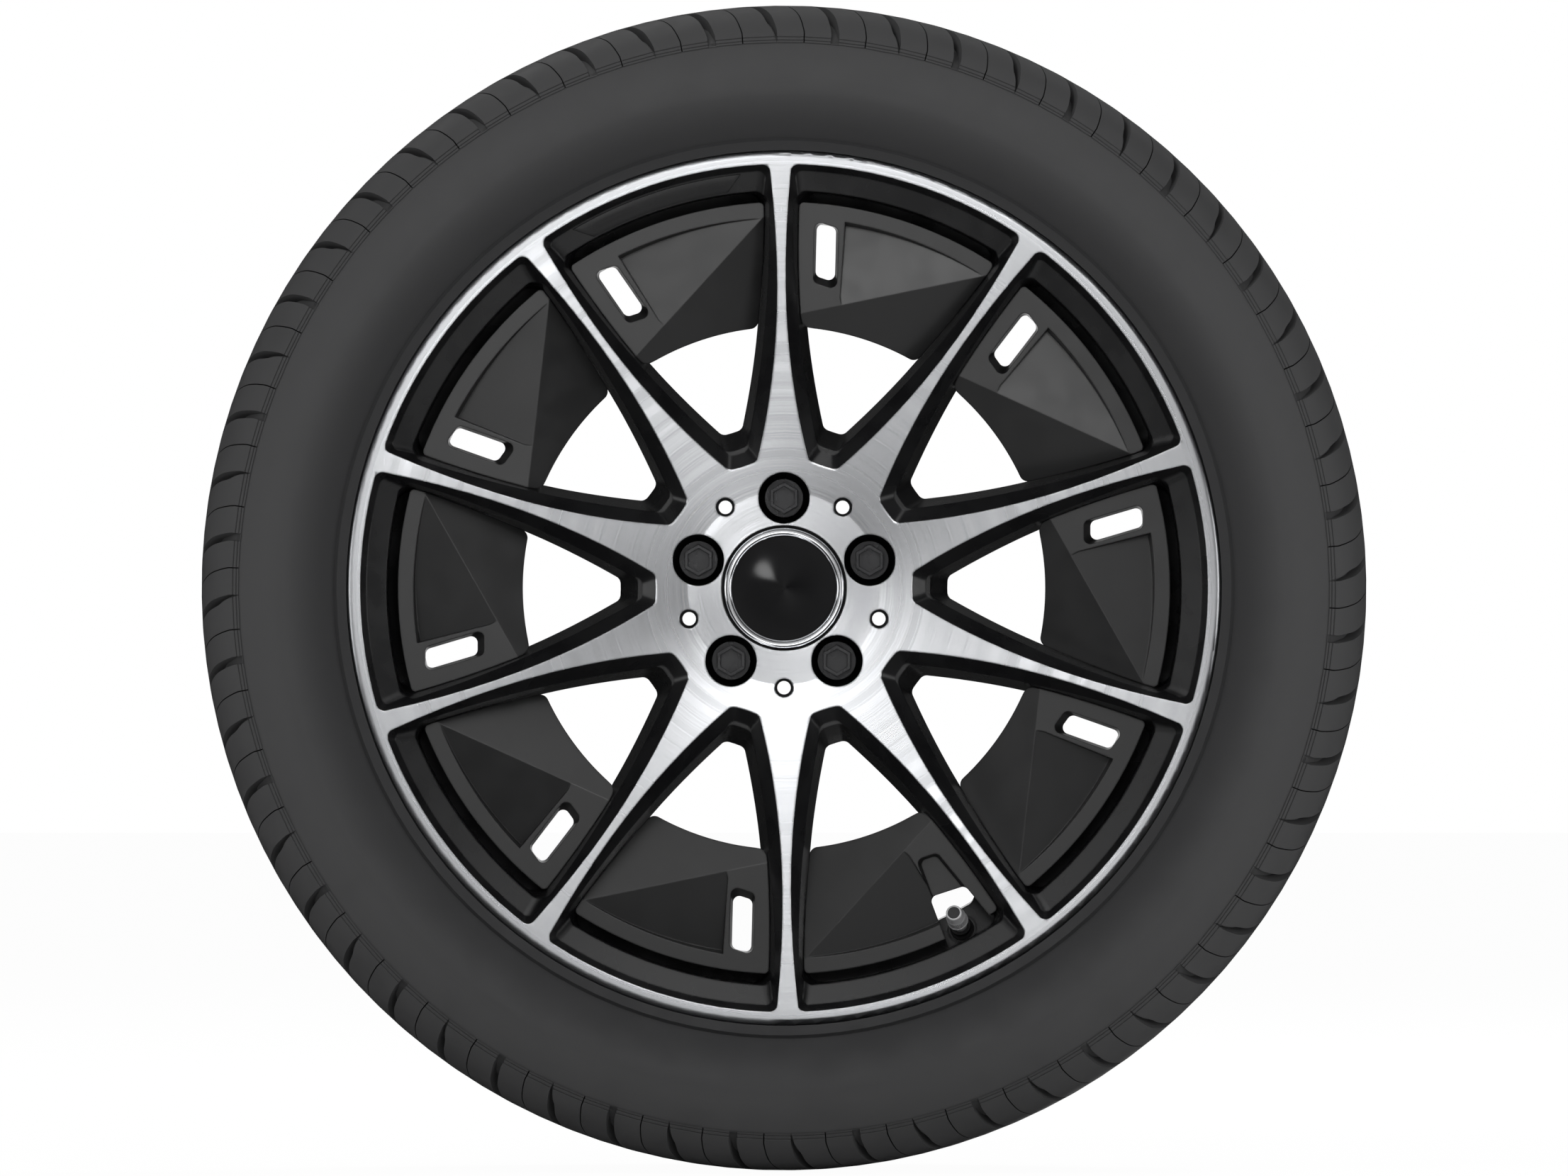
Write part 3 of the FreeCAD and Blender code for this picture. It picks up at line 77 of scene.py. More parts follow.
WHITE = (1.0, 1.0, 1.0, 1.0)

Color = tuple[float, float, float]
Point = tuple[float, float]
Socket = bpy.types.NodeSocket
Feed = Socket | float | Sequence[float]


class Slot(Enum):
    """The record's material slots that new pieces take their finish from."""

    ALLOY = "alloy"
    RUBBER = "tyre_rubber"
    VALVE = "valve_metal"


class Body(Enum):
    """The bodies that new pieces ride on."""

    WHEEL = "wheel"
    VALVE_CAP = "valve_cap"


class Graph:
    """Adds and joins the nodes of one material or node group."""

    def __init__(self, tree: bpy.types.NodeTree) -> None:
        """Starts on an empty tree."""
        self.tree = tree
        tree.nodes.clear()

    def add(
        self, kind: str, feeds: dict[str | int, Feed] | None = None, **settings: object
    ) -> bpy.types.Node:
        """Adds one node.

        Args:
            kind: The node's type name.
            feeds: A value or a socket for each input, by name or place.
            settings: The node's own properties.

        Returns:
            The new node.
        """
        node = self.tree.nodes.new(kind)
        for name, value in settings.items():
            setattr(node, name, value)
        for name, value in (feeds or {}).items():
            self.feed(node.inputs[name], value)
        return node

    def feed(self, socket: Socket, value: Feed) -> None:
        """Links a socket into an input, or sets the input's value."""
        if isinstance(value, bpy.types.NodeSocket):
            self.tree.links.new(value, socket)
        else:
            socket.default_value = value

    def math(self, operation: str, *values: Feed) -> Socket:
        """Adds a Math node and gives its result."""
        node = self.add("ShaderNodeMath", operation=operation)
        for socket, value in zip(node.inputs, values):
            self.feed(socket, value)
        return node.outputs[0]

    def between(self, value: Feed, low: Feed, high: Feed, start: Feed = 0.0, end: Feed = 1.0) -> Socket:
        """Maps a value smoothly from the range low to high onto start to end."""
        feeds = {"Value": value, "From Min": low, "From Max": high, "To Min": start, "To Max": end}
        return self.add("ShaderNodeMapRange", feeds, interpolation_type="SMOOTHSTEP").outputs["Result"]

    def blend(self, share: Feed, first: Feed, second: Feed) -> Socket:
        """Mixes two colours and gives the result."""
        node = self.add("ShaderNodeMix", data_type="RGBA")
        factor, start, end = node.inputs[0], node.inputs[6], node.inputs[7]
        for socket, value in ((factor, share), (start, first), (end, second)):
            self.feed(socket, value)
        return node.outputs[2]

    def group(self, tree: bpy.types.NodeTree, feeds: dict[str, Feed]) -> bpy.types.Node:
        """Places a shared node group with its own values."""
        node = self.add("ShaderNodeGroup", node_tree=tree)
        for name, value in feeds.items():
            self.feed(node.inputs[name], value)
        return node

    def object_place(self) -> Socket:
        """The place on the piece, in Object coordinates."""
        return self.add("ShaderNodeTexCoord").outputs["Object"]


@dataclass(frozen=True)
class Effect:
    """A surface effect that several finishes share, as a node group built once."""

    name: str
    inputs: tuple[str, ...]
    outputs: tuple[str, ...]
    fill: Callable[[Graph, bpy.types.Node], dict[str, Socket]]

    def tree(self) -> bpy.types.NodeTree:
        """Gives the group, and builds it at its first use.

        Returns:
            The node tree.
        """
        known = bpy.data.node_groups.get(self.name)
        if known:
            return known
        tree = bpy.data.node_groups.new(self.name, "ShaderNodeTree")
        tree.interface.new_socket(name="Place", in_out="INPUT", socket_type="NodeSocketVector")
        for name in self.inputs:
            tree.interface.new_socket(name=name, in_out="INPUT", socket_type="NodeSocketFloat")
        for name in self.outputs:
            tree.interface.new_socket(name=name, in_out="OUTPUT", socket_type="NodeSocketFloat")
        graph = Graph(tree)
        entry = graph.add("NodeGroupInput")
        results = self.fill(graph, entry)
        graph.add("NodeGroupOutput", results)
        return tree


def fill_grain(graph: Graph, entry: bpy.types.Node) -> dict[str, Socket]:
    """Fine moulded or sprayed grain, and slow changes of gloss between two bounds.

    Args:
        graph: The group's nodes.
        entry: The group's inputs.

    Returns:
        The group's results by name.
    """
    place = entry.outputs["Place"]
    scale = entry.outputs["Scale"]
    fine = graph.add("ShaderNodeTexNoise", {"Vector": place, "Scale": scale, "Detail": 3.0})
    slow_scale = graph.math("MULTIPLY", scale, SLOW_SHARE)
    slow = graph.add("ShaderNodeTexNoise", {"Vector": place, "Scale": slow_scale, "Detail": 2.0})
    bounds = entry.outputs["Low"], entry.outputs["High"]
    gloss = graph.between(slow.outputs["Fac"], *GLOSS_RANGE, *bounds)
    return {"Height": fine.outputs["Fac"], "Gloss": gloss, "Tone": slow.outputs["Fac"]}


def fill_lathe(graph: Graph, entry: bpy.types.Node) -> dict[str, Socket]:
    """The rings that a lathe's tool leaves round the axle.

    Args:
        graph: The group's nodes.
        entry: The group's inputs.

    Returns:
        The group's results by name.
    """
    place = graph.add("ShaderNodeSeparateXYZ", {"Vector": entry.outputs["Place"]})
    across = graph.math("MULTIPLY", place.outputs["X"], place.outputs["X"])
    upward = graph.math("MULTIPLY", place.outputs["Z"], place.outputs["Z"])
    radius = graph.math("SQRT", graph.math("ADD", across, upward))
    turns = graph.math("DIVIDE", radius, entry.outputs["Pitch"])
    rings, bands = (
        graph.add("ShaderNodeTexNoise", {"W": turns, "Scale": scale, "Detail": detail}, noise_dimensions="1D")
        for scale, detail in ((1.0, 2.0), (BAND_SHARE, 1.0))
    )
    return {"Radius": radius, "Rings": rings.outputs["Fac"], "Bands": bands.outputs["Fac"]}


GRAIN = Effect("fine_grain", ("Scale", "Low", "High"), ("Height", "Gloss", "Tone"), fill_grain)
LATHE = Effect("lathe_rings", ("Pitch",), ("Radius", "Rings", "Bands"), fill_lathe)


def opaque(color: Color) -> tuple[float, float, float, float]:
    """A colour as a colour socket takes it."""
    return (*color, 1.0)


def new_material(name: str) -> tuple[bpy.types.Material, Graph]:
    """Starts a material without nodes.

    Args:
        name: The material's name.

    Returns:
        The material and its nodes.
    """
    material = bpy.data.materials.new(name)
    material.use_nodes = True
    return material, Graph(material.node_tree)


@dataclass(frozen=True)
class Finish:
    """A painted, moulded, coated or plated finish with a fine grain and softened edges."""

    name: str
    color: Color
    worn: Color
    roughness: Point
    metallic: float = 0.0
    specular: float = 0.5
    grain: float = 900.0
    relief: float = 0.00001
    edge: float = 0.0

    def material(self) -> bpy.types.Material:
        """Builds the material at its first use.

        Returns:
            The material.
        """
        known = bpy.data.materials.get(self.name)
        if known:
            return known
        material, graph = new_material(self.name)
        shader = graph.add("ShaderNodeBsdfPrincipled")
        graph.add("ShaderNodeOutputMaterial", {"Surface": shader.outputs["BSDF"]})
        self.dress(graph, shader)
        return material

    def grain_on(self, graph: Graph, place: Socket) -> bpy.types.Node:
        """Places the grain with this finish's scale and bounds of gloss.

        Args:
            graph: The material's nodes.
            place: The place on the piece.

        Returns:
            The group node.
        """
        low, high = self.roughness
        return graph.group(GRAIN.tree(), {"Place": place, "Scale": self.grain, "Low": low, "High": high})

    def paint_on(self, graph: Graph, grain: bpy.types.Node) -> Socket:
        """The colour, which drifts slowly to the worn one.

        Args:
            graph: The material's nodes.
            grain: The grain's group node.

        Returns:
            The colour.
        """
        tone = graph.between(grain.outputs["Tone"], *TONE_RANGE)
        return graph.blend(tone, opaque(self.color), opaque(self.worn))

    def dress(self, graph: Graph, shader: bpy.types.Node) -> None:
        """Sets and links the shader's inputs.

        Args:
            graph: The material's nodes.
            shader: Its Principled BSDF.
        """
        grain = self.grain_on(graph, graph.object_place())
        graph.feed(shader.inputs["Base Color"], self.paint_on(graph, grain))
        graph.feed(shader.inputs["Roughness"], grain.outputs["Gloss"])
        self.set_constants(shader)
        self.raise_grain(graph, shader, grain.outputs["Height"])

    def set_constants(self, shader: bpy.types.Node) -> None:
        """Sets what is the same all over the surface."""
        shader.inputs["Metallic"].default_value = self.metallic
        shader.inputs["Specular IOR Level"].default_value = self.specular

    def raise_grain(self, graph: Graph, shader: bpy.types.Node, height: Socket) -> None:
        """Raises the grain on the surface.

        Args:
            graph: The material's nodes.
            shader: Its Principled BSDF.
            height: The grain from 0 to 1.
        """
        self.link_relief(graph, shader, height, self.relief)

    def link_relief(self, graph: Graph, shader: bpy.types.Node, height: Socket, depth: float) -> None:
        """Links a relief, on softened edges where the finish has them, to the shader's normal.

        Args:
            graph: The material's nodes.
            shader: Its Principled BSDF.
            height: The relief from 0 to 1.
            depth: How high a relief of 1 stands.
        """
        bump = graph.add("ShaderNodeBump", {"Strength": 1.0, "Distance": depth, "Height": height})
        if self.edge:
            edge = graph.add("ShaderNodeBevel", {"Radius": self.edge}, samples=EDGE_SAMPLES)
            graph.feed(bump.inputs["Normal"], edge.outputs["Normal"])
        graph.feed(shader.inputs["Normal"], bump.outputs["Normal"])


@dataclass(frozen=True)
class TwoToneFinish(Finish):
    """Black paint all over a casting, turned paler behind the front as painted fill light, and bright metal
    where a lathe has cut its front and its lip.

    The radii, the levels and the arc of the front are those of the solid.
    """

    # rear is painted fill light: a paler grey than the paint, laid on behind the front where little light
    # reaches.
    rear: Color = (0.035, 0.035, 0.036)
    painted_rear_fill_start: Point = (-0.050, -0.035)
    metal: Color = (0.70, 0.71, 0.73)
    metal_band: Color = (0.60, 0.61, 0.63)
    metal_roughness: Point = (0.20, 0.28)
    pitch: float = 0.0012
    spread: float = 0.7
    face_bow: float = 1.240
    face_centre: Point = (0.2886, 1.1268)
    hub_face_level: float = -0.092
    cap_edge_radius: float = 0.0391
    edge_radius: float = 0.2631
    lip_back: float = -0.1065
    slack: float = 0.0004

    def cut_by_lathe(self, graph: Graph, radius: Socket, level: Socket) -> Socket:
        """A mask of the turned front, which is flat at the hub and one arc from there to the rim.

        Args:
            graph: The material's nodes.
            radius: The distance from the axle.
            level: The place along the axle.

        Returns:
            1 on bright metal and 0 on paint.
        """
        across, centre = self.face_centre
        reach = graph.math("SUBTRACT", radius, across)
        back = graph.math("MULTIPLY", reach, -1.0)
        rise = graph.math("SQRT", graph.math("MULTIPLY_ADD", reach, back, self.face_bow**2))
        front = graph.math("MINIMUM", graph.math("SUBTRACT", centre, rise), self.hub_face_level)
        near = graph.math("COMPARE", level, front, self.slack)
        face = graph.math("MULTIPLY", near, graph.math("GREATER_THAN", radius, self.cap_edge_radius))
        outside = graph.math("GREATER_THAN", radius, self.edge_radius)
        lip = graph.math("MULTIPLY", outside, graph.math("LESS_THAN", level, self.lip_back))
        return graph.math("MAXIMUM", face, lip)

    def dress(self, graph: Graph, shader: bpy.types.Node) -> None:
        """Sets and links the shader's inputs.

        Args:
            graph: The material's nodes.
            shader: Its Principled BSDF.
        """
        place = graph.object_place()
        grain = self.grain_on(graph, place)
        lathe = graph.group(LATHE.tree(), {"Place": place, "Pitch": self.pitch})
        level = graph.add("ShaderNodeSeparateXYZ", {"Vector": place}).outputs["Y"]
        bright = self.cut_by_lathe(graph, lathe.outputs["Radius"], level)
        rings = graph.math("ADD", lathe.outputs["Rings"], lathe.outputs["Bands"])
        tone = graph.between(rings, *RING_RANGE)
        metal = graph.blend(tone, opaque(self.metal), opaque(self.metal_band))
        # Painted fill light: behind the front the paint blends into the paler rear grey.
        behind = graph.between(level, *self.painted_rear_fill_start)
        paint = graph.blend(behind, self.paint_on(graph, grain), opaque(self.rear))
        graph.feed(shader.inputs["Base Color"], graph.blend(bright, paint, metal))
        gloss = graph.between(lathe.outputs["Bands"], *GLOSS_RANGE, *self.metal_roughness)
        step = graph.math("SUBTRACT", gloss, grain.outputs["Gloss"])
        roughness = graph.math("MULTIPLY_ADD", bright, step, grain.outputs["Gloss"])
        graph.feed(shader.inputs["Roughness"], roughness)
        self.set_constants(shader)
        graph.feed(shader.inputs["Metallic"], bright)
        shader.inputs["Anisotropic"].default_value = self.spread
        outward = graph.add("ShaderNodeVectorMath", {0: place, 1: (1.0, 0.0, 1.0)}, operation="MULTIPLY")
        unit = graph.add("ShaderNodeVectorMath", {0: outward.outputs["Vector"]}, operation="NORMALIZE")
        graph.feed(shader.inputs["Tangent"], unit.outputs["Vector"])
        self.raise_grain(graph, shader, graph.math("MULTIPLY", rings, bright))


@dataclass(frozen=True)
class RubberFinish(Finish):
    """Moulded tyre rubber, with faint rings of the mould and painted shade that darkens the sidewall towards
    the rim.
    """

    pitch: float = 0.004
    painted_light_radius: float = 0.325
    painted_shade_radius: float = 0.283
    mottle: float = 0.3
    ring_share: float = 0.5

    def dress(self, graph: Graph, shader: bpy.types.Node) -> None:
        """Sets and links the shader's inputs.

        Args:
            graph: The material's nodes.
            shader: Its Principled BSDF.
        """
        place = graph.object_place()
        grain = self.grain_on(graph, place)
        lathe = graph.group(LATHE.tree(), {"Place": place, "Pitch": self.pitch})
        # Painted shade: the colour darkens from the shoulder towards the rim.
        outward = graph.between(lathe.outputs["Radius"], self.painted_shade_radius, self.painted_light_radius)
        mottled = graph.math("MULTIPLY_ADD", grain.outputs["Tone"], self.mottle, -self.mottle / 2)
        tone = graph.math("ADD", outward, mottled)
        # worn here is the painted shade colour near the rim, which the random mottle also reaches.
        color = graph.blend(tone, opaque(self.worn), opaque(self.color))
        graph.feed(shader.inputs["Base Color"], color)
        graph.feed(shader.inputs["Roughness"], grain.outputs["Gloss"])
        self.set_constants(shader)
        rings = lathe.outputs["Rings"]
        relief = graph.math("MULTIPLY_ADD", rings, self.ring_share, grain.outputs["Height"])
        self.raise_grain(graph, shader, relief)


@dataclass(frozen=True)
class ThreadedFinish(Finish):
    """Coated steel whose shank, behind a given level, shows the turns of its thread."""

    pitch: float = 0.0015
    start: float = -0.05
    depth: float = 0.0007

    def raise_grain(self, graph: Graph, shader: bpy.types.Node, height: Socket) -> None:
        """Raises the grain and the thread's turns on the surface.

        Args:
            graph: The material's nodes.
            shader: Its Principled BSDF.
            height: The grain from 0 to 1.
        """
        level = graph.add("ShaderNodeSeparateXYZ", {"Vector": graph.object_place()}).outputs["Y"]
        wave = graph.math("PINGPONG", graph.math("DIVIDE", level, self.pitch / 2), 1.0)
        shank = graph.between(level, self.start, self.start + self.pitch)
        turns = graph.math("MULTIPLY", wave, shank)
        relief = graph.math("MULTIPLY_ADD", height, self.relief / self.depth, turns)
        self.link_relief(graph, shader, relief, self.depth)


CASTING = TwoToneFinish(
    "black_and_turned_alloy", (0.006, 0.006, 0.0065), (0.009, 0.009, 0.0095), (0.24, 0.32),
    grain=1500.0, relief=0.0000025, edge=0.0015,
)
PAD_BLACK = Finish(
    "rim_pad_black", (0.006, 0.006, 0.0065), (0.009, 0.009, 0.0095), (0.24, 0.32), grain=1500.0,
    relief=0.000003, edge=0.0003,
)
INSERT_BLACK = Finish(
    "satin_black_insert", (0.003, 0.003, 0.0033), (0.005, 0.005, 0.0054), (0.29, 0.35), specular=0.75,
    grain=1800.0, relief=0.000002, edge=0.0012,
)
# The tyre's second colour is its painted shade near the rim.
TYRE_RUBBER = RubberFinish(
    "tyre_sidewall_rubber", (0.052, 0.052, 0.053), (0.026, 0.026, 0.027), (0.55, 0.68), specular=0.35,
    grain=1400.0, relief=0.00003,
)
BOLT_BLACK = ThreadedFinish(
    "bolt_black_coat", (0.045, 0.045, 0.047), (0.06, 0.06, 0.062), (0.24, 0.34), metallic=0.7,
    grain=2500.0, relief=0.000006, edge=0.0007,
)
CAP_CHROME = Finish(
    "cap_ring_chrome", (0.78, 0.79, 0.81), (0.72, 0.73, 0.75), (0.06, 0.12), metallic=1.0, grain=900.0,
    relief=0.000001,
)
CAP_GLOSS = Finish(
    "cap_disc_gloss", (0.004, 0.004, 0.0045), (0.006, 0.006, 0.0065), (0.05, 0.07), specular=0.15,
    grain=900.0, relief=0.0000005,
)
CAP_PLASTIC = Finish(
    "cap_body_plastic", (0.022, 0.022, 0.023), (0.03, 0.03, 0.031), (0.45, 0.6), grain=2200.0,
    relief=0.00001, edge=0.0003,
)
SPRING_STEEL = Finish(
    "spring_wire", (0.42, 0.42, 0.43), (0.34, 0.34, 0.35), (0.25, 0.4), metallic=1.0, grain=3000.0
)
VALVE_SILVER = Finish(
    "valve_nickel", (0.66, 0.66, 0.67), (0.56, 0.56, 0.57), (0.38, 0.50), metallic=0.6, grain=2500.0,
    relief=0.000004, edge=0.0002,
)
NUT_BLACK = Finish(
    "valve_nut_black", (0.012, 0.012, 0.0125), (0.018, 0.018, 0.0185), (0.32, 0.44), metallic=0.3,
    grain=2500.0, relief=0.000004, edge=0.0003,
)
VALVE_BRASS = Finish(
    "valve_core_brass", (0.66, 0.47, 0.20), (0.55, 0.38, 0.16), (0.25, 0.4), metallic=1.0, grain=3000.0
)
SEAL_RUBBER = Finish(
    "seal_rubber_black", (0.016, 0.016, 0.016), (0.026, 0.026, 0.026), (0.6, 0.8), grain=3000.0,
    relief=0.00001,
)
SENSOR_PLASTIC = Finish(
    "sensor_housing_plastic", (0.028, 0.028, 0.03), (0.04, 0.04, 0.042), (0.5, 0.65), grain=2600.0,
    relief=0.00002, edge=0.0006,
)
SCREW_ZINC = Finish(
    "screw_zinc", (0.50, 0.50, 0.51), (0.42, 0.42, 0.43), (0.28, 0.42), metallic=1.0, grain=3000.0,
    edge=0.0002,
)


def place_mesh(name: str, bm: bmesh.types.BMesh, body: Body, sharp: float) -> bpy.types.Object:
    """Closes a bmesh into a finished piece that rides on a body.

    Args:
        name: The piece's name.
        bm: Its shape, which is freed.
        body: What it moves with.
        sharp: Edges over this angle in degrees stay sharp.

    Returns:
        The new object.
    """
    bmesh.ops.remove_doubles(bm, verts=bm.verts, dist=MERGE)
    bmesh.ops.recalc_face_normals(bm, faces=bm.faces)
    mesh = bpy.data.meshes.new(name)
    bm.to_mesh(mesh)
    bm.free()
    mesh.polygons.foreach_set("use_smooth", [True] * len(mesh.polygons))
    mesh.set_sharp_from_angle(angle=math.radians(sharp))
    piece = bpy.data.objects.new(name, mesh)
    bpy.context.scene.collection.objects.link(piece)
    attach(piece, body.value)
    LOG.info("%s: %d faces", name, len(mesh.polygons))
    return piece


def arc_points(start: Point, end: Point, radius: float, steps: int) -> list[Point]:
    """Points along an arc, without its end. A radius over zero turns left, under zero right.

    Args:
        start: Where it begins.
        end: Where it ends.
        radius: Its signed radius.
        steps: The number of chords.

    Returns:
        The points.
    """
    first, last = Vector(start), Vector(end)
    half = (last - first) / 2
    rise = math.sqrt(radius * radius - half.length_squared)
    side = Vector((-half.y, half.x)).normalized() * math.copysign(rise, radius)
    centre = first + half + side
    begin = math.atan2(first.y - centre.y, first.x - centre.x)
    sweep = math.atan2(last.y - centre.y, last.x - centre.x) - begin
    sweep = (sweep + math.pi) % (2 * math.pi) - math.pi
    size = abs(radius)
    angles = [begin + sweep * step / steps for step in range(steps)]
    return [(centre.x + size * math.cos(angle), centre.y + size * math.sin(angle)) for angle in angles]


class Cut(Enum):
    """The kinds of cut across the tyre's shoulder."""

    OPEN = "open groove"
    POINTED = "groove that closes to a point at the ledge"
    SIPE = "thin slit"


@dataclass(frozen=True)
class Column:
    """One section of the tyre, at an angle about the middle of a cut."""

    cut: Cut
    middle: float
    offset: float
    sunk: bool


@dataclass(frozen=True)
class Station:
    """One point of the tyre's section, and whether cuts reach it."""

    radius: float
    level: float
    cut: bool = False


@dataclass
class Tyre:
    """The tyre: its section carried round one pitch of the tread, and the pitch copied round."""

    radius: float = 0.36425
    crown_drop: float = 0.00275
    tread_half: float = 0.088
    shoulder_round: float = 0.034
    shoulder: Point = (0.345, 0.113)
    ledge: Point = (0.3385, 0.1168)
    ledge_step: float = 0.0008
    belly: Point = (0.309125, 0.1225)
    sidewall_round: float = 0.092
    protector: Point = (0.2775, 0.1149)
    protector_fall: float = 0.002
    lip_radius: float = 0.2716
    flange_round: float = 0.0073
    flange_top: float = 0.1086
    heel: Point = (0.2543, 0.1013)
    toe: Point = (0.2533, 0.0823)
    bead_height: float = 0.026
    toe_height: float = 0.0055
    sidewall_wall: float = 0.009
    tread_wall: float = 0.016
    main_grooves: tuple[float, ...] = (-0.058, -0.020, 0.020, 0.058)
    main_groove_half: float = 0.00475
    main_groove_foot: float = 0.00325
    main_groove_depth: float = 0.0073
    ring_radii: tuple[float, ...] = (0.3421, 0.3400)
    ring_half: float = 0.0004
    ring_depth: float = 0.0007
    tread_cuts: Point = (0.0705, 0.0805)
    pitches: int = 28
    phase: float = -0.9
    groove_half: float = 0.42
    groove_foot: float = 0.38
    sipe_half: float = 0.065
    sipe_depth: float = 0.004
    sipe_slant: Point = (0.6, 0.8)
    sipe_reach: float = 0.082
    tail: float = 0.070
    point_start: float = 0.108
    point_share: float = 0.08
    sweeps: tuple[Point, ...] = ((0.070, 0.0), (0.0936, 1.65), (0.103, 2.4), (0.113, 3.0))
    floors: tuple[Point, ...] = (
        (0.0705, 0.35645), (0.0936, 0.35255), (0.103, 0.34895), (0.113, 0.3411), (0.1176, 0.3377),
    )
    shoulder_steps: int = 9
    sidewall_steps: int = 8
    flange_steps: int = 5
    liner_steps: int = 4
    seam: float = 0.00002
    sharp: float = 32.0

    @staticmethod
    def on_line(table: Sequence[Point], at: float) -> float:
        """Reads a table of points in between, and holds its ends.

        Args:
            table: Points in order.
            at: Where to read it.

        Returns:
            The value there.
        """
        if at <= table[0][0]:
            return table[0][1]
        for (start, low), (end, high) in zip(table, table[1:]):
            if at <= end:
                return low + (high - low) * (at - start) / (end - start)
        return table[-1][1]

    def crown(self, level: float) -> float:
        """The tread's radius at a distance from the middle."""
        return self.radius - self.crown_drop * (level / self.tread_half) ** 2

    def shoulder_stations(self) -> list[Station]:
        """The outer shoulder of the rear half, from the tread's edge to the ledge.

        Returns:
            The stations.
        """
        edge = (self.crown(self.tread_half), self.tread_half)
        bend = arc_points(edge, self.shoulder, self.shoulder_round, self.shoulder_steps)
        stations = [Station(radius, level, True) for radius, level in bend]
        stations.append(Station(*self.shoulder, True))
        (top, near), (bottom, far) = self.shoulder, self.ledge
        slope = (far - near) / (bottom - top)
        run = math.hypot(far - near, bottom - top)
        inward = Vector((near - far, bottom - top)) / run
        for ring in self.ring_radii:
            for step, depth in ((-1, 0.0), (0, self.ring_depth), (1, 0.0)):
                at = ring - step * self.ring_half
                level = near + (at - top) * slope
                stations.append(Station(at + inward.x * depth, level + inward.y * depth, True))
        stations.append(Station(*self.ledge, True))
        return stations

    def rear_half(self) -> list[Station]:
        """The section of the rear half, down its outside from the tread's edge and up its liner.

        Returns:
            The stations.
        """
        foot = (self.lip_radius - self.flange_round, self.heel[1])
        below = (self.protector[0] + self.protector_fall, self.protector[1] - self.protector_fall)
        collar = (self.lip_radius, self.protector[1] - self.protector_fall)
        step = (self.ledge[0], self.ledge[1] - self.ledge_step)
        liner_foot = (self.heel[0] + self.bead_height, self.heel[1] - self.sidewall_wall)
        liner_belly = (self.belly[0], self.belly[1] - self.sidewall_wall)
        liner_shoulder = (self.shoulder[0] - self.tread_wall / 2, self.shoulder[1] - self.tread_wall)
        liner_top = (self.crown(self.tread_half) - self.tread_wall, self.tread_half - self.tread_wall)
        points = arc_points(step, self.belly, self.sidewall_round, self.sidewall_steps)
        points += arc_points(self.belly, below, self.sidewall_round, self.sidewall_steps)
        points += [below, self.protector, collar]
        flange = (self.lip_radius, self.flange_top)
        points += arc_points(flange, foot, -self.flange_round, self.flange_steps)
        points += [foot, self.heel, self.toe, (self.toe[0] + self.toe_height, self.toe[1])]
        points += arc_points(liner_foot, liner_belly, -self.sidewall_round, self.liner_steps)
        points += arc_points(liner_belly, liner_shoulder, -self.sidewall_round, self.liner_steps)
        points += arc_points(liner_shoulder, liner_top, -self.shoulder_round, self.liner_steps)
        points.append(liner_top)
        return self.shoulder_stations() + [Station(*point) for point in points]

    def tread(self) -> list[Station]:
        """The tread from its front edge to its rear edge, with the grooves round it.

        Returns:
            The stations.
        """
        half, foot, depth = self.main_groove_half, self.main_groove_foot, self.main_groove_depth
        stations = [Station(self.crown(level), -level, True) for level in reversed(self.tread_cuts)]
        stations.append(Station(self.crown(self.tail), -self.tail))
        for place in self.main_grooves:
            floor = self.crown(place) - depth
            stations.append(Station(self.crown(place - half), place - half))
            stations += [Station(floor, place - foot), Station(floor, place + foot)]
            stations.append(Station(self.crown(place + half), place + half))
        stations.append(Station(self.crown(self.tail), self.tail))
        return stations + [Station(self.crown(level), level, True) for level in self.tread_cuts]

    def columns(self) -> list[Column]:
        """The sections of one pitch: an open groove, a slit, a pointed groove and a slit.

        Returns:
            The columns in order of angle.
        """
        pitch = 360 / self.pitches
        groove = (
            (-self.groove_half, False), (-self.groove_foot, True), (0.0, True),
            (self.groove_foot, True), (self.groove_half, False),
        )
        slit = ((-self.sipe_half, False), (0.0, True), (self.sipe_half, False))
        plan = ((Cut.OPEN, groove), (Cut.SIPE, slit), (Cut.POINTED, groove), (Cut.SIPE, slit))
        return [
            Column(cut, pitch * place / len(plan) + self.phase, offset, sunk)
            for place, (cut, steps) in enumerate(plan, start=1)
            for offset, sunk in steps
        ]

    def place(self, station: Station, column: Column, turn: float = 0.0) -> Vector:
        """Where a station of the section lies in a column.

        Args:
            station: The point of the section.
            column: The column.
            turn: Degrees to add.

        Returns:
            The place.
        """
        level, radius = station.level, station.radius
        place = abs(level)
        offset, middle = column.offset, column.middle
        if column.cut is Cut.POINTED:
            share = self.on_line(((self.point_start, 1.0), (self.ledge[1], self.point_share)), place)
            middle += self.groove_half * (1 - share)
            offset *= share
        if station.cut and column.sunk:
            if column.cut is not Cut.SIPE:
                radius = min(radius, self.on_line(self.floors, place))
            elif place > self.sipe_reach:
                inward, aside = self.sipe_slant
                radius -= self.sipe_depth * inward
                level -= math.copysign(self.sipe_depth * aside, level)
        angle = math.radians(middle + offset + turn + self.on_line(self.sweeps, place))
        return Vector((radius * math.sin(angle), level, radius * math.cos(angle)))

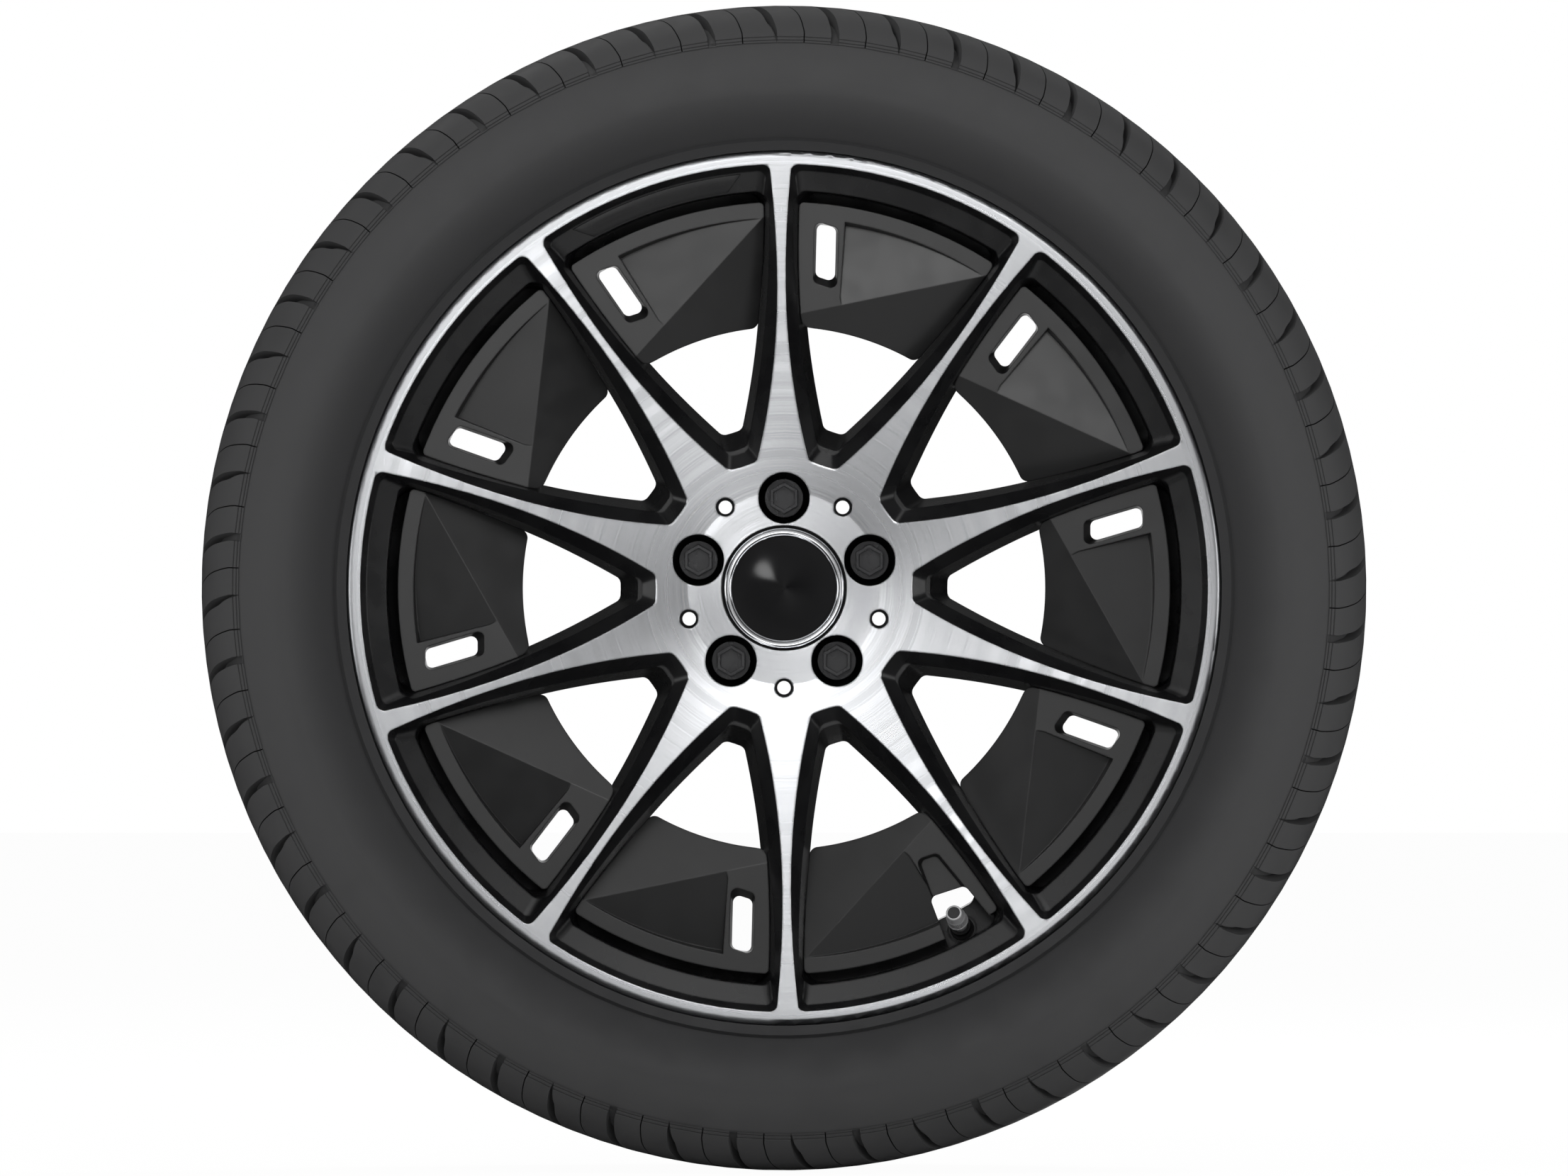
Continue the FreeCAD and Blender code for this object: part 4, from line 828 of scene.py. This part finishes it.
    def build(self) -> None:
        """Carries the section through one pitch, copies the pitch round and dresses the tyre."""
        rear = self.rear_half()
        front = [Station(s.radius, -s.level, s.cut) for s in reversed(rear)]
        section = rear + front + self.tread()
        columns = self.columns()
        pitch = 360 / self.pitches
        bm = bmesh.new()
        ring = [bm.verts.new(self.place(station, columns[0])) for station in section]
        edges = [bm.edges.new(pair) for pair in zip(ring, ring[1:] + ring[:1])]
        for column, turn in [(column, 0.0) for column in columns[1:]] + [(columns[0], pitch)]:
            made = set(bmesh.ops.extrude_edge_only(bm, edges=edges)["geom"])
            ring = [next(e.other_vert(v) for e in v.link_edges if e.other_vert(v) in made) for v in ring]
            edges = [bm.edges.get(pair) for pair in zip(ring, ring[1:] + ring[:1])]
            for vert, station in zip(ring, section):
                vert.co = self.place(station, column, turn)
        copies = self.pitches - 1
        bmesh.ops.spin(
            bm, geom=bm.verts[:] + bm.edges[:] + bm.faces[:], axis=AXLE, cent=MIDDLE,
            angle=math.radians(pitch * copies), steps=copies, use_duplicate=True,
        )
        bmesh.ops.remove_doubles(bm, verts=bm.verts, dist=self.seam)
        piece = place_mesh("tyre_rubber", bm, Body.WHEEL, self.sharp)
        piece.data.materials.append(TYRE_RUBBER.material())
        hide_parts("tyre")


@dataclass
class ValveCap:
    """The knurled cap on the valve, turned about its joint's axis."""

    base: float = -0.0114
    skirt: float = -0.0024
    top: float = 0.0038
    roof: float = 0.0014
    lead_end: float = -0.0054
    base_radius: float = 0.0065
    skirt_radius: float = 0.0062
    top_radius: float = 0.0050
    lead_radius: float = 0.0046
    bore_radius: float = 0.00395
    disc_radius: float = 0.0039
    disc_sink: float = 0.0004
    chamfer: float = 0.0005
    collar: float = 0.0015
    collar_slope: float = 0.0005
    teeth: int = 40
    tooth_depth: float = 0.0004
    sharp: float = 30.0

    def build(self) -> None:
        """Spins the section, presses in the knurl and stands it on the valve."""
        joint = next(j for j in frame["record"]["behaviour"]["joints"] if j["name"] == "cap_spin")
        section = [
            (self.lead_radius, self.base),
            (self.base_radius - self.chamfer, self.base),
            (self.base_radius, self.base + self.chamfer),
            (self.base_radius, self.base + self.collar),
            (self.skirt_radius, self.base + self.collar + self.collar_slope),
            (self.skirt_radius, self.skirt - self.chamfer),
            (self.skirt_radius - self.chamfer, self.skirt),
            (self.top_radius, self.top - self.chamfer),
            (self.top_radius - self.chamfer, self.top),
            (self.disc_radius, self.top),
            (self.disc_radius, self.top - self.disc_sink),
            (0.0, self.top - self.disc_sink),
        ]
        inside = [
            (0.0, self.roof), (self.bore_radius, self.roof), (self.bore_radius, self.lead_end),
            (self.lead_radius, self.lead_end),
        ]
        bm = bmesh.new()
        verts = [bm.verts.new((radius, 0.0, height)) for radius, height in section + inside]
        edges = [bm.edges.new(pair) for pair in zip(verts, verts[1:] + verts[:1])]
        steps = self.teeth * 2
        bmesh.ops.spin(
            bm, geom=verts + edges, axis=(0.0, 0.0, 1.0), cent=MIDDLE, angle=math.tau, steps=steps,
            use_merge=True,
        )
        bmesh.ops.remove_doubles(bm, verts=bm.verts, dist=MERGE)
        low = self.base + self.collar + self.collar_slope / 2
        high = self.skirt - self.chamfer / 2
        for vert in bm.verts:
            reach = math.hypot(vert.co.x, vert.co.y)
            step = round(math.atan2(vert.co.y, vert.co.x) / math.tau * steps)
            if step % 2 and low < vert.co.z < high and reach > self.skirt_radius - self.chamfer / 2:
                vert.co.xy *= 1 - self.tooth_depth / reach
        for face in bm.faces:
            centre = face.calc_center_median()
            inside_rim = centre.xy.length < self.disc_radius
            face.material_index = int(inside_rim and centre.z > (self.roof + self.top) / 2)
        stand = Vector((0.0, 0.0, 1.0)).rotation_difference(Vector(joint["axis"])).to_matrix().to_4x4()
        bmesh.ops.transform(bm, matrix=Matrix.Translation(joint["pos_m"]) @ stand, verts=bm.verts)
        piece = place_mesh("knurled_valve_cap", bm, Body.VALVE_CAP, self.sharp)
        piece.data.materials.append(VALVE_SILVER.material())
        piece.data.materials.append(CAP_PLASTIC.material())
        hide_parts("valve_cap")


@dataclass
class RimPad:
    """The plain raised pad on the sloping band inside the rim's edge."""

    outer: Point = (0.2583, -0.1056)
    inner: Point = (0.2482, -0.1019)
    lift: float = 0.0009
    sink: float = 0.001
    start: float = -29.5
    end: float = -7.0
    end_slant: float = 1.05
    bevel: float = 0.0003
    sharp: float = 40.0
    steps: int = 30

    def build(self) -> None:
        """Spins the pad's section, slants its ends and rounds its edges."""
        middle = (self.outer[0] + self.inner[0]) / 2
        reach = self.outer[0] - middle
        slope = Vector((self.outer[0] - self.inner[0], self.outer[1] - self.inner[1])).normalized()
        out = Vector((slope.y, -slope.x))
        corners = [Vector(self.inner) - out * self.sink, Vector(self.outer) - out * self.sink]
        corners += [Vector(self.outer) + out * self.lift, Vector(self.inner) + out * self.lift]
        bm = bmesh.new()
        verts = [bm.verts.new((0.0, corner.y, corner.x)) for corner in corners]
        face = bm.faces.new(verts)
        sweep = math.radians(self.end - self.start)
        bmesh.ops.spin(bm, geom=[face], axis=AXLE, cent=MIDDLE, angle=sweep, steps=self.steps)
        for vert in bm.verts:
            radius, angle = math.hypot(vert.co.x, vert.co.z), math.atan2(vert.co.x, vert.co.z)
            share = angle / sweep * 2 - 1
            angle += math.radians(self.start + share * self.end_slant * (radius - middle) / reach)
            vert.co.x, vert.co.z = radius * math.sin(angle), radius * math.cos(angle)
        bmesh.ops.recalc_face_normals(bm, faces=bm.faces)
        rims = [edge for edge in bm.edges if edge.calc_face_angle(0.0) > math.radians(self.sharp)]
        bmesh.ops.bevel(
            bm, geom=rims, offset=self.bevel, segments=2, profile=0.5, affect="EDGES", material=-1
        )
        piece = place_mesh("rim_pad", bm, Body.WHEEL, self.sharp)
        piece.data.materials.append(PAD_BLACK.material())


@dataclass
class Fittings:
    """The solids whose shape is right as they come, with their finishes."""

    finishes: dict[str, Finish] = field(
        default_factory=lambda: {
            "alloy_wheel": CASTING,
            "wheel_bolts": BOLT_BLACK,
            "centre_cap_ring": CAP_CHROME,
            "centre_cap_disc": CAP_GLOSS,
            "centre_cap_body": CAP_PLASTIC,
            "centre_cap_spring": SPRING_STEEL,
            "valve_stem": VALVE_SILVER,
            "valve_nut": NUT_BLACK,
            "valve_core": VALVE_BRASS,
            "valve_core_pin": VALVE_BRASS,
            "valve_grommet": SEAL_RUBBER,
            "valve_cap_seal": SEAL_RUBBER,
            "pressure_sensor": SENSOR_PLASTIC,
            "sensor_screw": SCREW_ZINC,
        }
    )
    insert_prefix: str = "aero_insert"

    def build(self) -> None:
        """Gives each solid its finish."""
        for name, node in frame["nodes"].items():
            finish = INSERT_BLACK if name.startswith(self.insert_prefix) else self.finishes.get(name)
            if finish:
                node.data.materials.clear()
                node.data.materials.append(finish.material())
                LOG.info("%s: %s", name, finish.name)


@dataclass(frozen=True)
class Ring:
    """How bright the tent is at an angle from the camera's line, above and below."""

    angle: float
    upper: float
    lower: float


@dataclass(frozen=True)
class Fan:
    """A wave of light round the camera's line."""

    count: float
    start: float
    depth: float


@dataclass(frozen=True)
class SoftBox:
    """A round patch of light on the tent, tilted from the camera's line and turned round it."""

    tilt: float
    turn: float
    half: float
    power: float

    def aim(self) -> Vector:
        """The direction to the patch's middle."""
        tilt, turn = math.radians(self.tilt), math.radians(self.turn)
        return Vector((math.sin(tilt) * math.sin(turn), -math.cos(tilt), math.sin(tilt) * math.cos(turn)))


@dataclass(frozen=True)
class Lamp:
    """A square soft lamp that looks at the wheel's middle."""

    name: str
    place: tuple[float, float, float]
    size: float
    power: float


@dataclass
class Studio:
    """The pale floor, the light and the camera."""

    camera_distance: float = 10.92
    camera_lens: float = 400.0
    camera_reach: float = 100.0
    floor_size: float = 30.0
    floor_color: Color = (0.92, 0.92, 0.92)
    floor_glow: float = 0.97
    world_fill: float = 0.35
    tent_radius: float = 2.4
    tent_gap: float = 0.002
    tent_segments: tuple[int, int] = (48, 32)
    tent_pole: float = 0.001
    tent_rings: tuple[Ring, ...] = (
        Ring(0.0, 0.75, 0.75),
        Ring(4.0, 0.50, 0.55),
        Ring(8.0, 0.60, 0.80),
        Ring(12.0, 0.70, 1.05),
        Ring(15.0, 0.80, 0.50),
        Ring(18.0, 1.05, 0.12),
        Ring(19.5, 1.80, 0.20),
        Ring(21.5, 4.60, 0.45),
        Ring(24.0, 5.00, 0.45),
        Ring(26.5, 0.03, 0.02),
        Ring(29.0, 0.50, 0.40),
        Ring(38.0, 0.40, 0.30),
        Ring(50.0, 0.03, 0.02),
    )
    tent_peak: float = 5.0
    tent_sides: Point = (-0.5, 0.7)
    tent_fans: tuple[Fan, ...] = (Fan(2.0, 330.0, 0.45), Fan(3.0, 60.0, 0.3))
    tent_fan_start: Point = (2.0, 9.0)
    soft_boxes: tuple[SoftBox, ...] = (
        SoftBox(4.7, -48.0, 1.7, 14.0),
        SoftBox(66.0, 90.0, 14.0, 2.5),
        SoftBox(66.0, -90.0, 14.0, 2.5),
        SoftBox(62.0, 20.0, 12.0, 2.0),
        SoftBox(108.0, -20.0, 24.0, 1.8),
        SoftBox(108.0, 160.0, 24.0, 0.9),
        SoftBox(180.0, 0.0, 16.0, 1.2),
    )
    box_core: float = 0.4
    lamps: tuple[Lamp, ...] = (
        Lamp("key", (-2.2, -3.0, 3.2), 2.2, 90.0),
        Lamp("fill", (2.6, -2.6, 0.6), 1.8, 30.0),
        Lamp("rim", (1.2, 2.6, 2.6), 1.6, 110.0),
    )

    def build(self) -> None:
        """Builds the whole studio."""
        bpy.context.scene.view_settings.view_transform = "Standard"
        self.set_world()
        self.lay_floor()
        self.pitch_tent()
        self.set_lamps()
        self.set_camera()

    def set_world(self) -> None:
        """A white background where it is seen, in mirrors too, and a weaker fill for the rest."""
        world = bpy.data.worlds.new("studio")
        world.use_nodes = True
        graph = Graph(world.node_tree)
        path = graph.add("ShaderNodeLightPath")
        seen = graph.math("MAXIMUM", path.outputs["Is Camera Ray"], path.outputs["Is Glossy Ray"])
        seen = graph.math("MAXIMUM", seen, path.outputs["Is Transmission Ray"])
        strength = graph.math("MULTIPLY_ADD", seen, 1.0 - self.world_fill, self.world_fill)
        background = graph.add("ShaderNodeBackground", {"Color": WHITE, "Strength": strength})
        graph.add("ShaderNodeOutputWorld", {"Surface": background.outputs["Background"]})
        bpy.context.scene.world = world

    def lay_floor(self) -> None:
        """A wide pale floor under the tyre, which keeps a soft shadow."""
        bm = bmesh.new()
        bmesh.ops.create_grid(bm, x_segments=1, y_segments=1, size=self.floor_size / 2)
        bmesh.ops.translate(bm, verts=bm.verts, vec=(0.0, 0.0, CAD_BOX[0][2]))
        floor = self.stage_mesh("floor", bm)
        material, graph = new_material("pale_floor")
        diffuse = graph.add("ShaderNodeBsdfDiffuse", {"Color": opaque(self.floor_color)}).outputs["BSDF"]
        glow = graph.add("ShaderNodeEmission", {"Color": WHITE}).outputs["Emission"]
        path = graph.add("ShaderNodeLightPath")
        seen = graph.math("MAXIMUM", path.outputs["Is Camera Ray"], path.outputs["Is Glossy Ray"])
        share = graph.math("MULTIPLY", seen, self.floor_glow)
        mixed = graph.add("ShaderNodeMixShader", {0: share, 1: diffuse, 2: glow})
        graph.add("ShaderNodeOutputMaterial", {"Surface": mixed.outputs["Shader"]})
        floor.data.materials.append(material)

    def stage_mesh(self, name: str, bm: bmesh.types.BMesh) -> bpy.types.Object:
        """Turns a bmesh into an object of the stage."""
        mesh = bpy.data.meshes.new(name)
        bm.to_mesh(mesh)
        bm.free()
        thing = bpy.data.objects.new(name, mesh)
        bpy.context.scene.collection.objects.link(thing)
        return thing

    def pitch_tent(self) -> None:
        """A dome round the wheel that only reflections see, dark but for its rings and soft boxes."""
        bm = bmesh.new()
        around, upward = self.tent_segments
        bmesh.ops.create_uvsphere(bm, u_segments=around, v_segments=upward, radius=self.tent_radius)
        for vert in bm.verts:
            vert.co.z = max(vert.co.z, CAD_BOX[0][2] + self.tent_gap)
        tent = self.stage_mesh("light_tent", bm)
        tent.visible_camera = False
        tent.visible_diffuse = False
        tent.visible_transmission = False
        tent.visible_shadow = False
        material, graph = new_material("tent_glow")
        glow = graph.add("ShaderNodeEmission", {"Color": WHITE, "Strength": self.tent_pattern(graph)})
        graph.add("ShaderNodeOutputMaterial", {"Surface": glow.outputs["Emission"]})
        tent.data.materials.append(material)

    def tent_pattern(self, graph: Graph) -> Socket:
        """How bright the tent is in each direction from the wheel's middle.

        Args:
            graph: The tent material's nodes.

        Returns:
            The strength.
        """
        place = graph.object_place()
        toward = graph.add("ShaderNodeVectorMath", {0: place}, operation="NORMALIZE").outputs["Vector"]
        part = graph.add("ShaderNodeSeparateXYZ", {"Vector": toward})
        angle = graph.math("ARCCOSINE", graph.math("MULTIPLY", part.outputs["Y"], -1.0))
        reach = graph.math("MAXIMUM", graph.math("SINE", angle), self.tent_pole)
        upward = graph.math("DIVIDE", part.outputs["Z"], reach)
        high = self.tent_ramp(graph, angle, [ring.upper for ring in self.tent_rings])
        low = self.tent_ramp(graph, angle, [ring.lower for ring in self.tent_rings])
        side = graph.between(upward, *self.tent_sides)
        ring = graph.math("MULTIPLY_ADD", side, graph.math("SUBTRACT", high, low), low)
        around = graph.math("ARCTAN2", part.outputs["X"], part.outputs["Z"])
        spread = graph.between(angle, *map(math.radians, self.tent_fan_start))
        fans: Feed = 1.0
        for fan in self.tent_fans:
            turn = graph.math("MULTIPLY_ADD", around, fan.count, -math.radians(fan.start))
            wave = graph.math("MULTIPLY", graph.math("COSINE", turn), fan.depth)
            fans = graph.math("MULTIPLY_ADD", wave, spread, fans)
        light = graph.math("MULTIPLY", graph.math("MULTIPLY", ring, fans), self.tent_peak)
        for box in self.soft_boxes:
            near = graph.add("ShaderNodeVectorMath", {0: toward, 1: box.aim()}, operation="DOT_PRODUCT")
            rim = math.cos(math.radians(box.half))
            core = math.cos(math.radians(box.half * self.box_core))
            patch = graph.between(near.outputs["Value"], rim, core, 0.0, box.power)
            light = graph.math("ADD", light, patch)
        return light

    def tent_ramp(self, graph: Graph, angle: Socket, powers: Sequence[float]) -> Socket:
        """The tent's rings on one of its sides, as shares of the peak.

        Args:
            graph: The tent material's nodes.
            angle: The angle from the line to the camera.
            powers: How bright each ring is on that side.

        Returns:
            The share.
        """
        node = graph.add("ShaderNodeValToRGB", {"Fac": graph.math("DIVIDE", angle, math.pi)})
        stops = node.color_ramp.elements
        while len(stops) < len(self.tent_rings):
            stops.new(1.0)
        for stop, ring, power in zip(stops, self.tent_rings, powers):
            share = power / self.tent_peak
            stop.position = ring.angle / HALF_TURN
            stop.color = opaque((share, share, share))
        return node.outputs["Color"]

    def set_lamps(self) -> None:
        """Large soft lamps: one high at the left, a weaker one low at the right and one behind."""
        for lamp in self.lamps:
            light = bpy.data.lights.new(lamp.name, "AREA")
            light.shape = "SQUARE"
            light.size = lamp.size
            light.energy = lamp.power
            holder = bpy.data.objects.new(lamp.name, light)
            holder.location = lamp.place
            holder.rotation_euler = (-Vector(lamp.place)).to_track_quat("-Z", "Y").to_euler()
            holder.visible_camera = False
            holder.visible_glossy = False
            bpy.context.scene.collection.objects.link(holder)

    def set_camera(self) -> None:
        """A long lens straight before the wheel."""
        camera = bpy.data.cameras.new("camera")
        camera.lens = self.camera_lens
        camera.clip_end = self.camera_reach
        holder = bpy.data.objects.new("camera", camera)
        holder.location = (0.0, -self.camera_distance, 0.0)
        holder.rotation_euler = (math.radians(90), 0.0, 0.0)
        bpy.context.scene.collection.objects.link(holder)
        bpy.context.scene.camera = holder


def main() -> None:
    """Builds and dresses the pieces, then the studio."""
    logging.basicConfig(level=logging.INFO)
    Tyre().build()
    ValveCap().build()
    RimPad().build()
    Fittings().build()
    Studio().build()


if __name__ == "__main__":
    main()
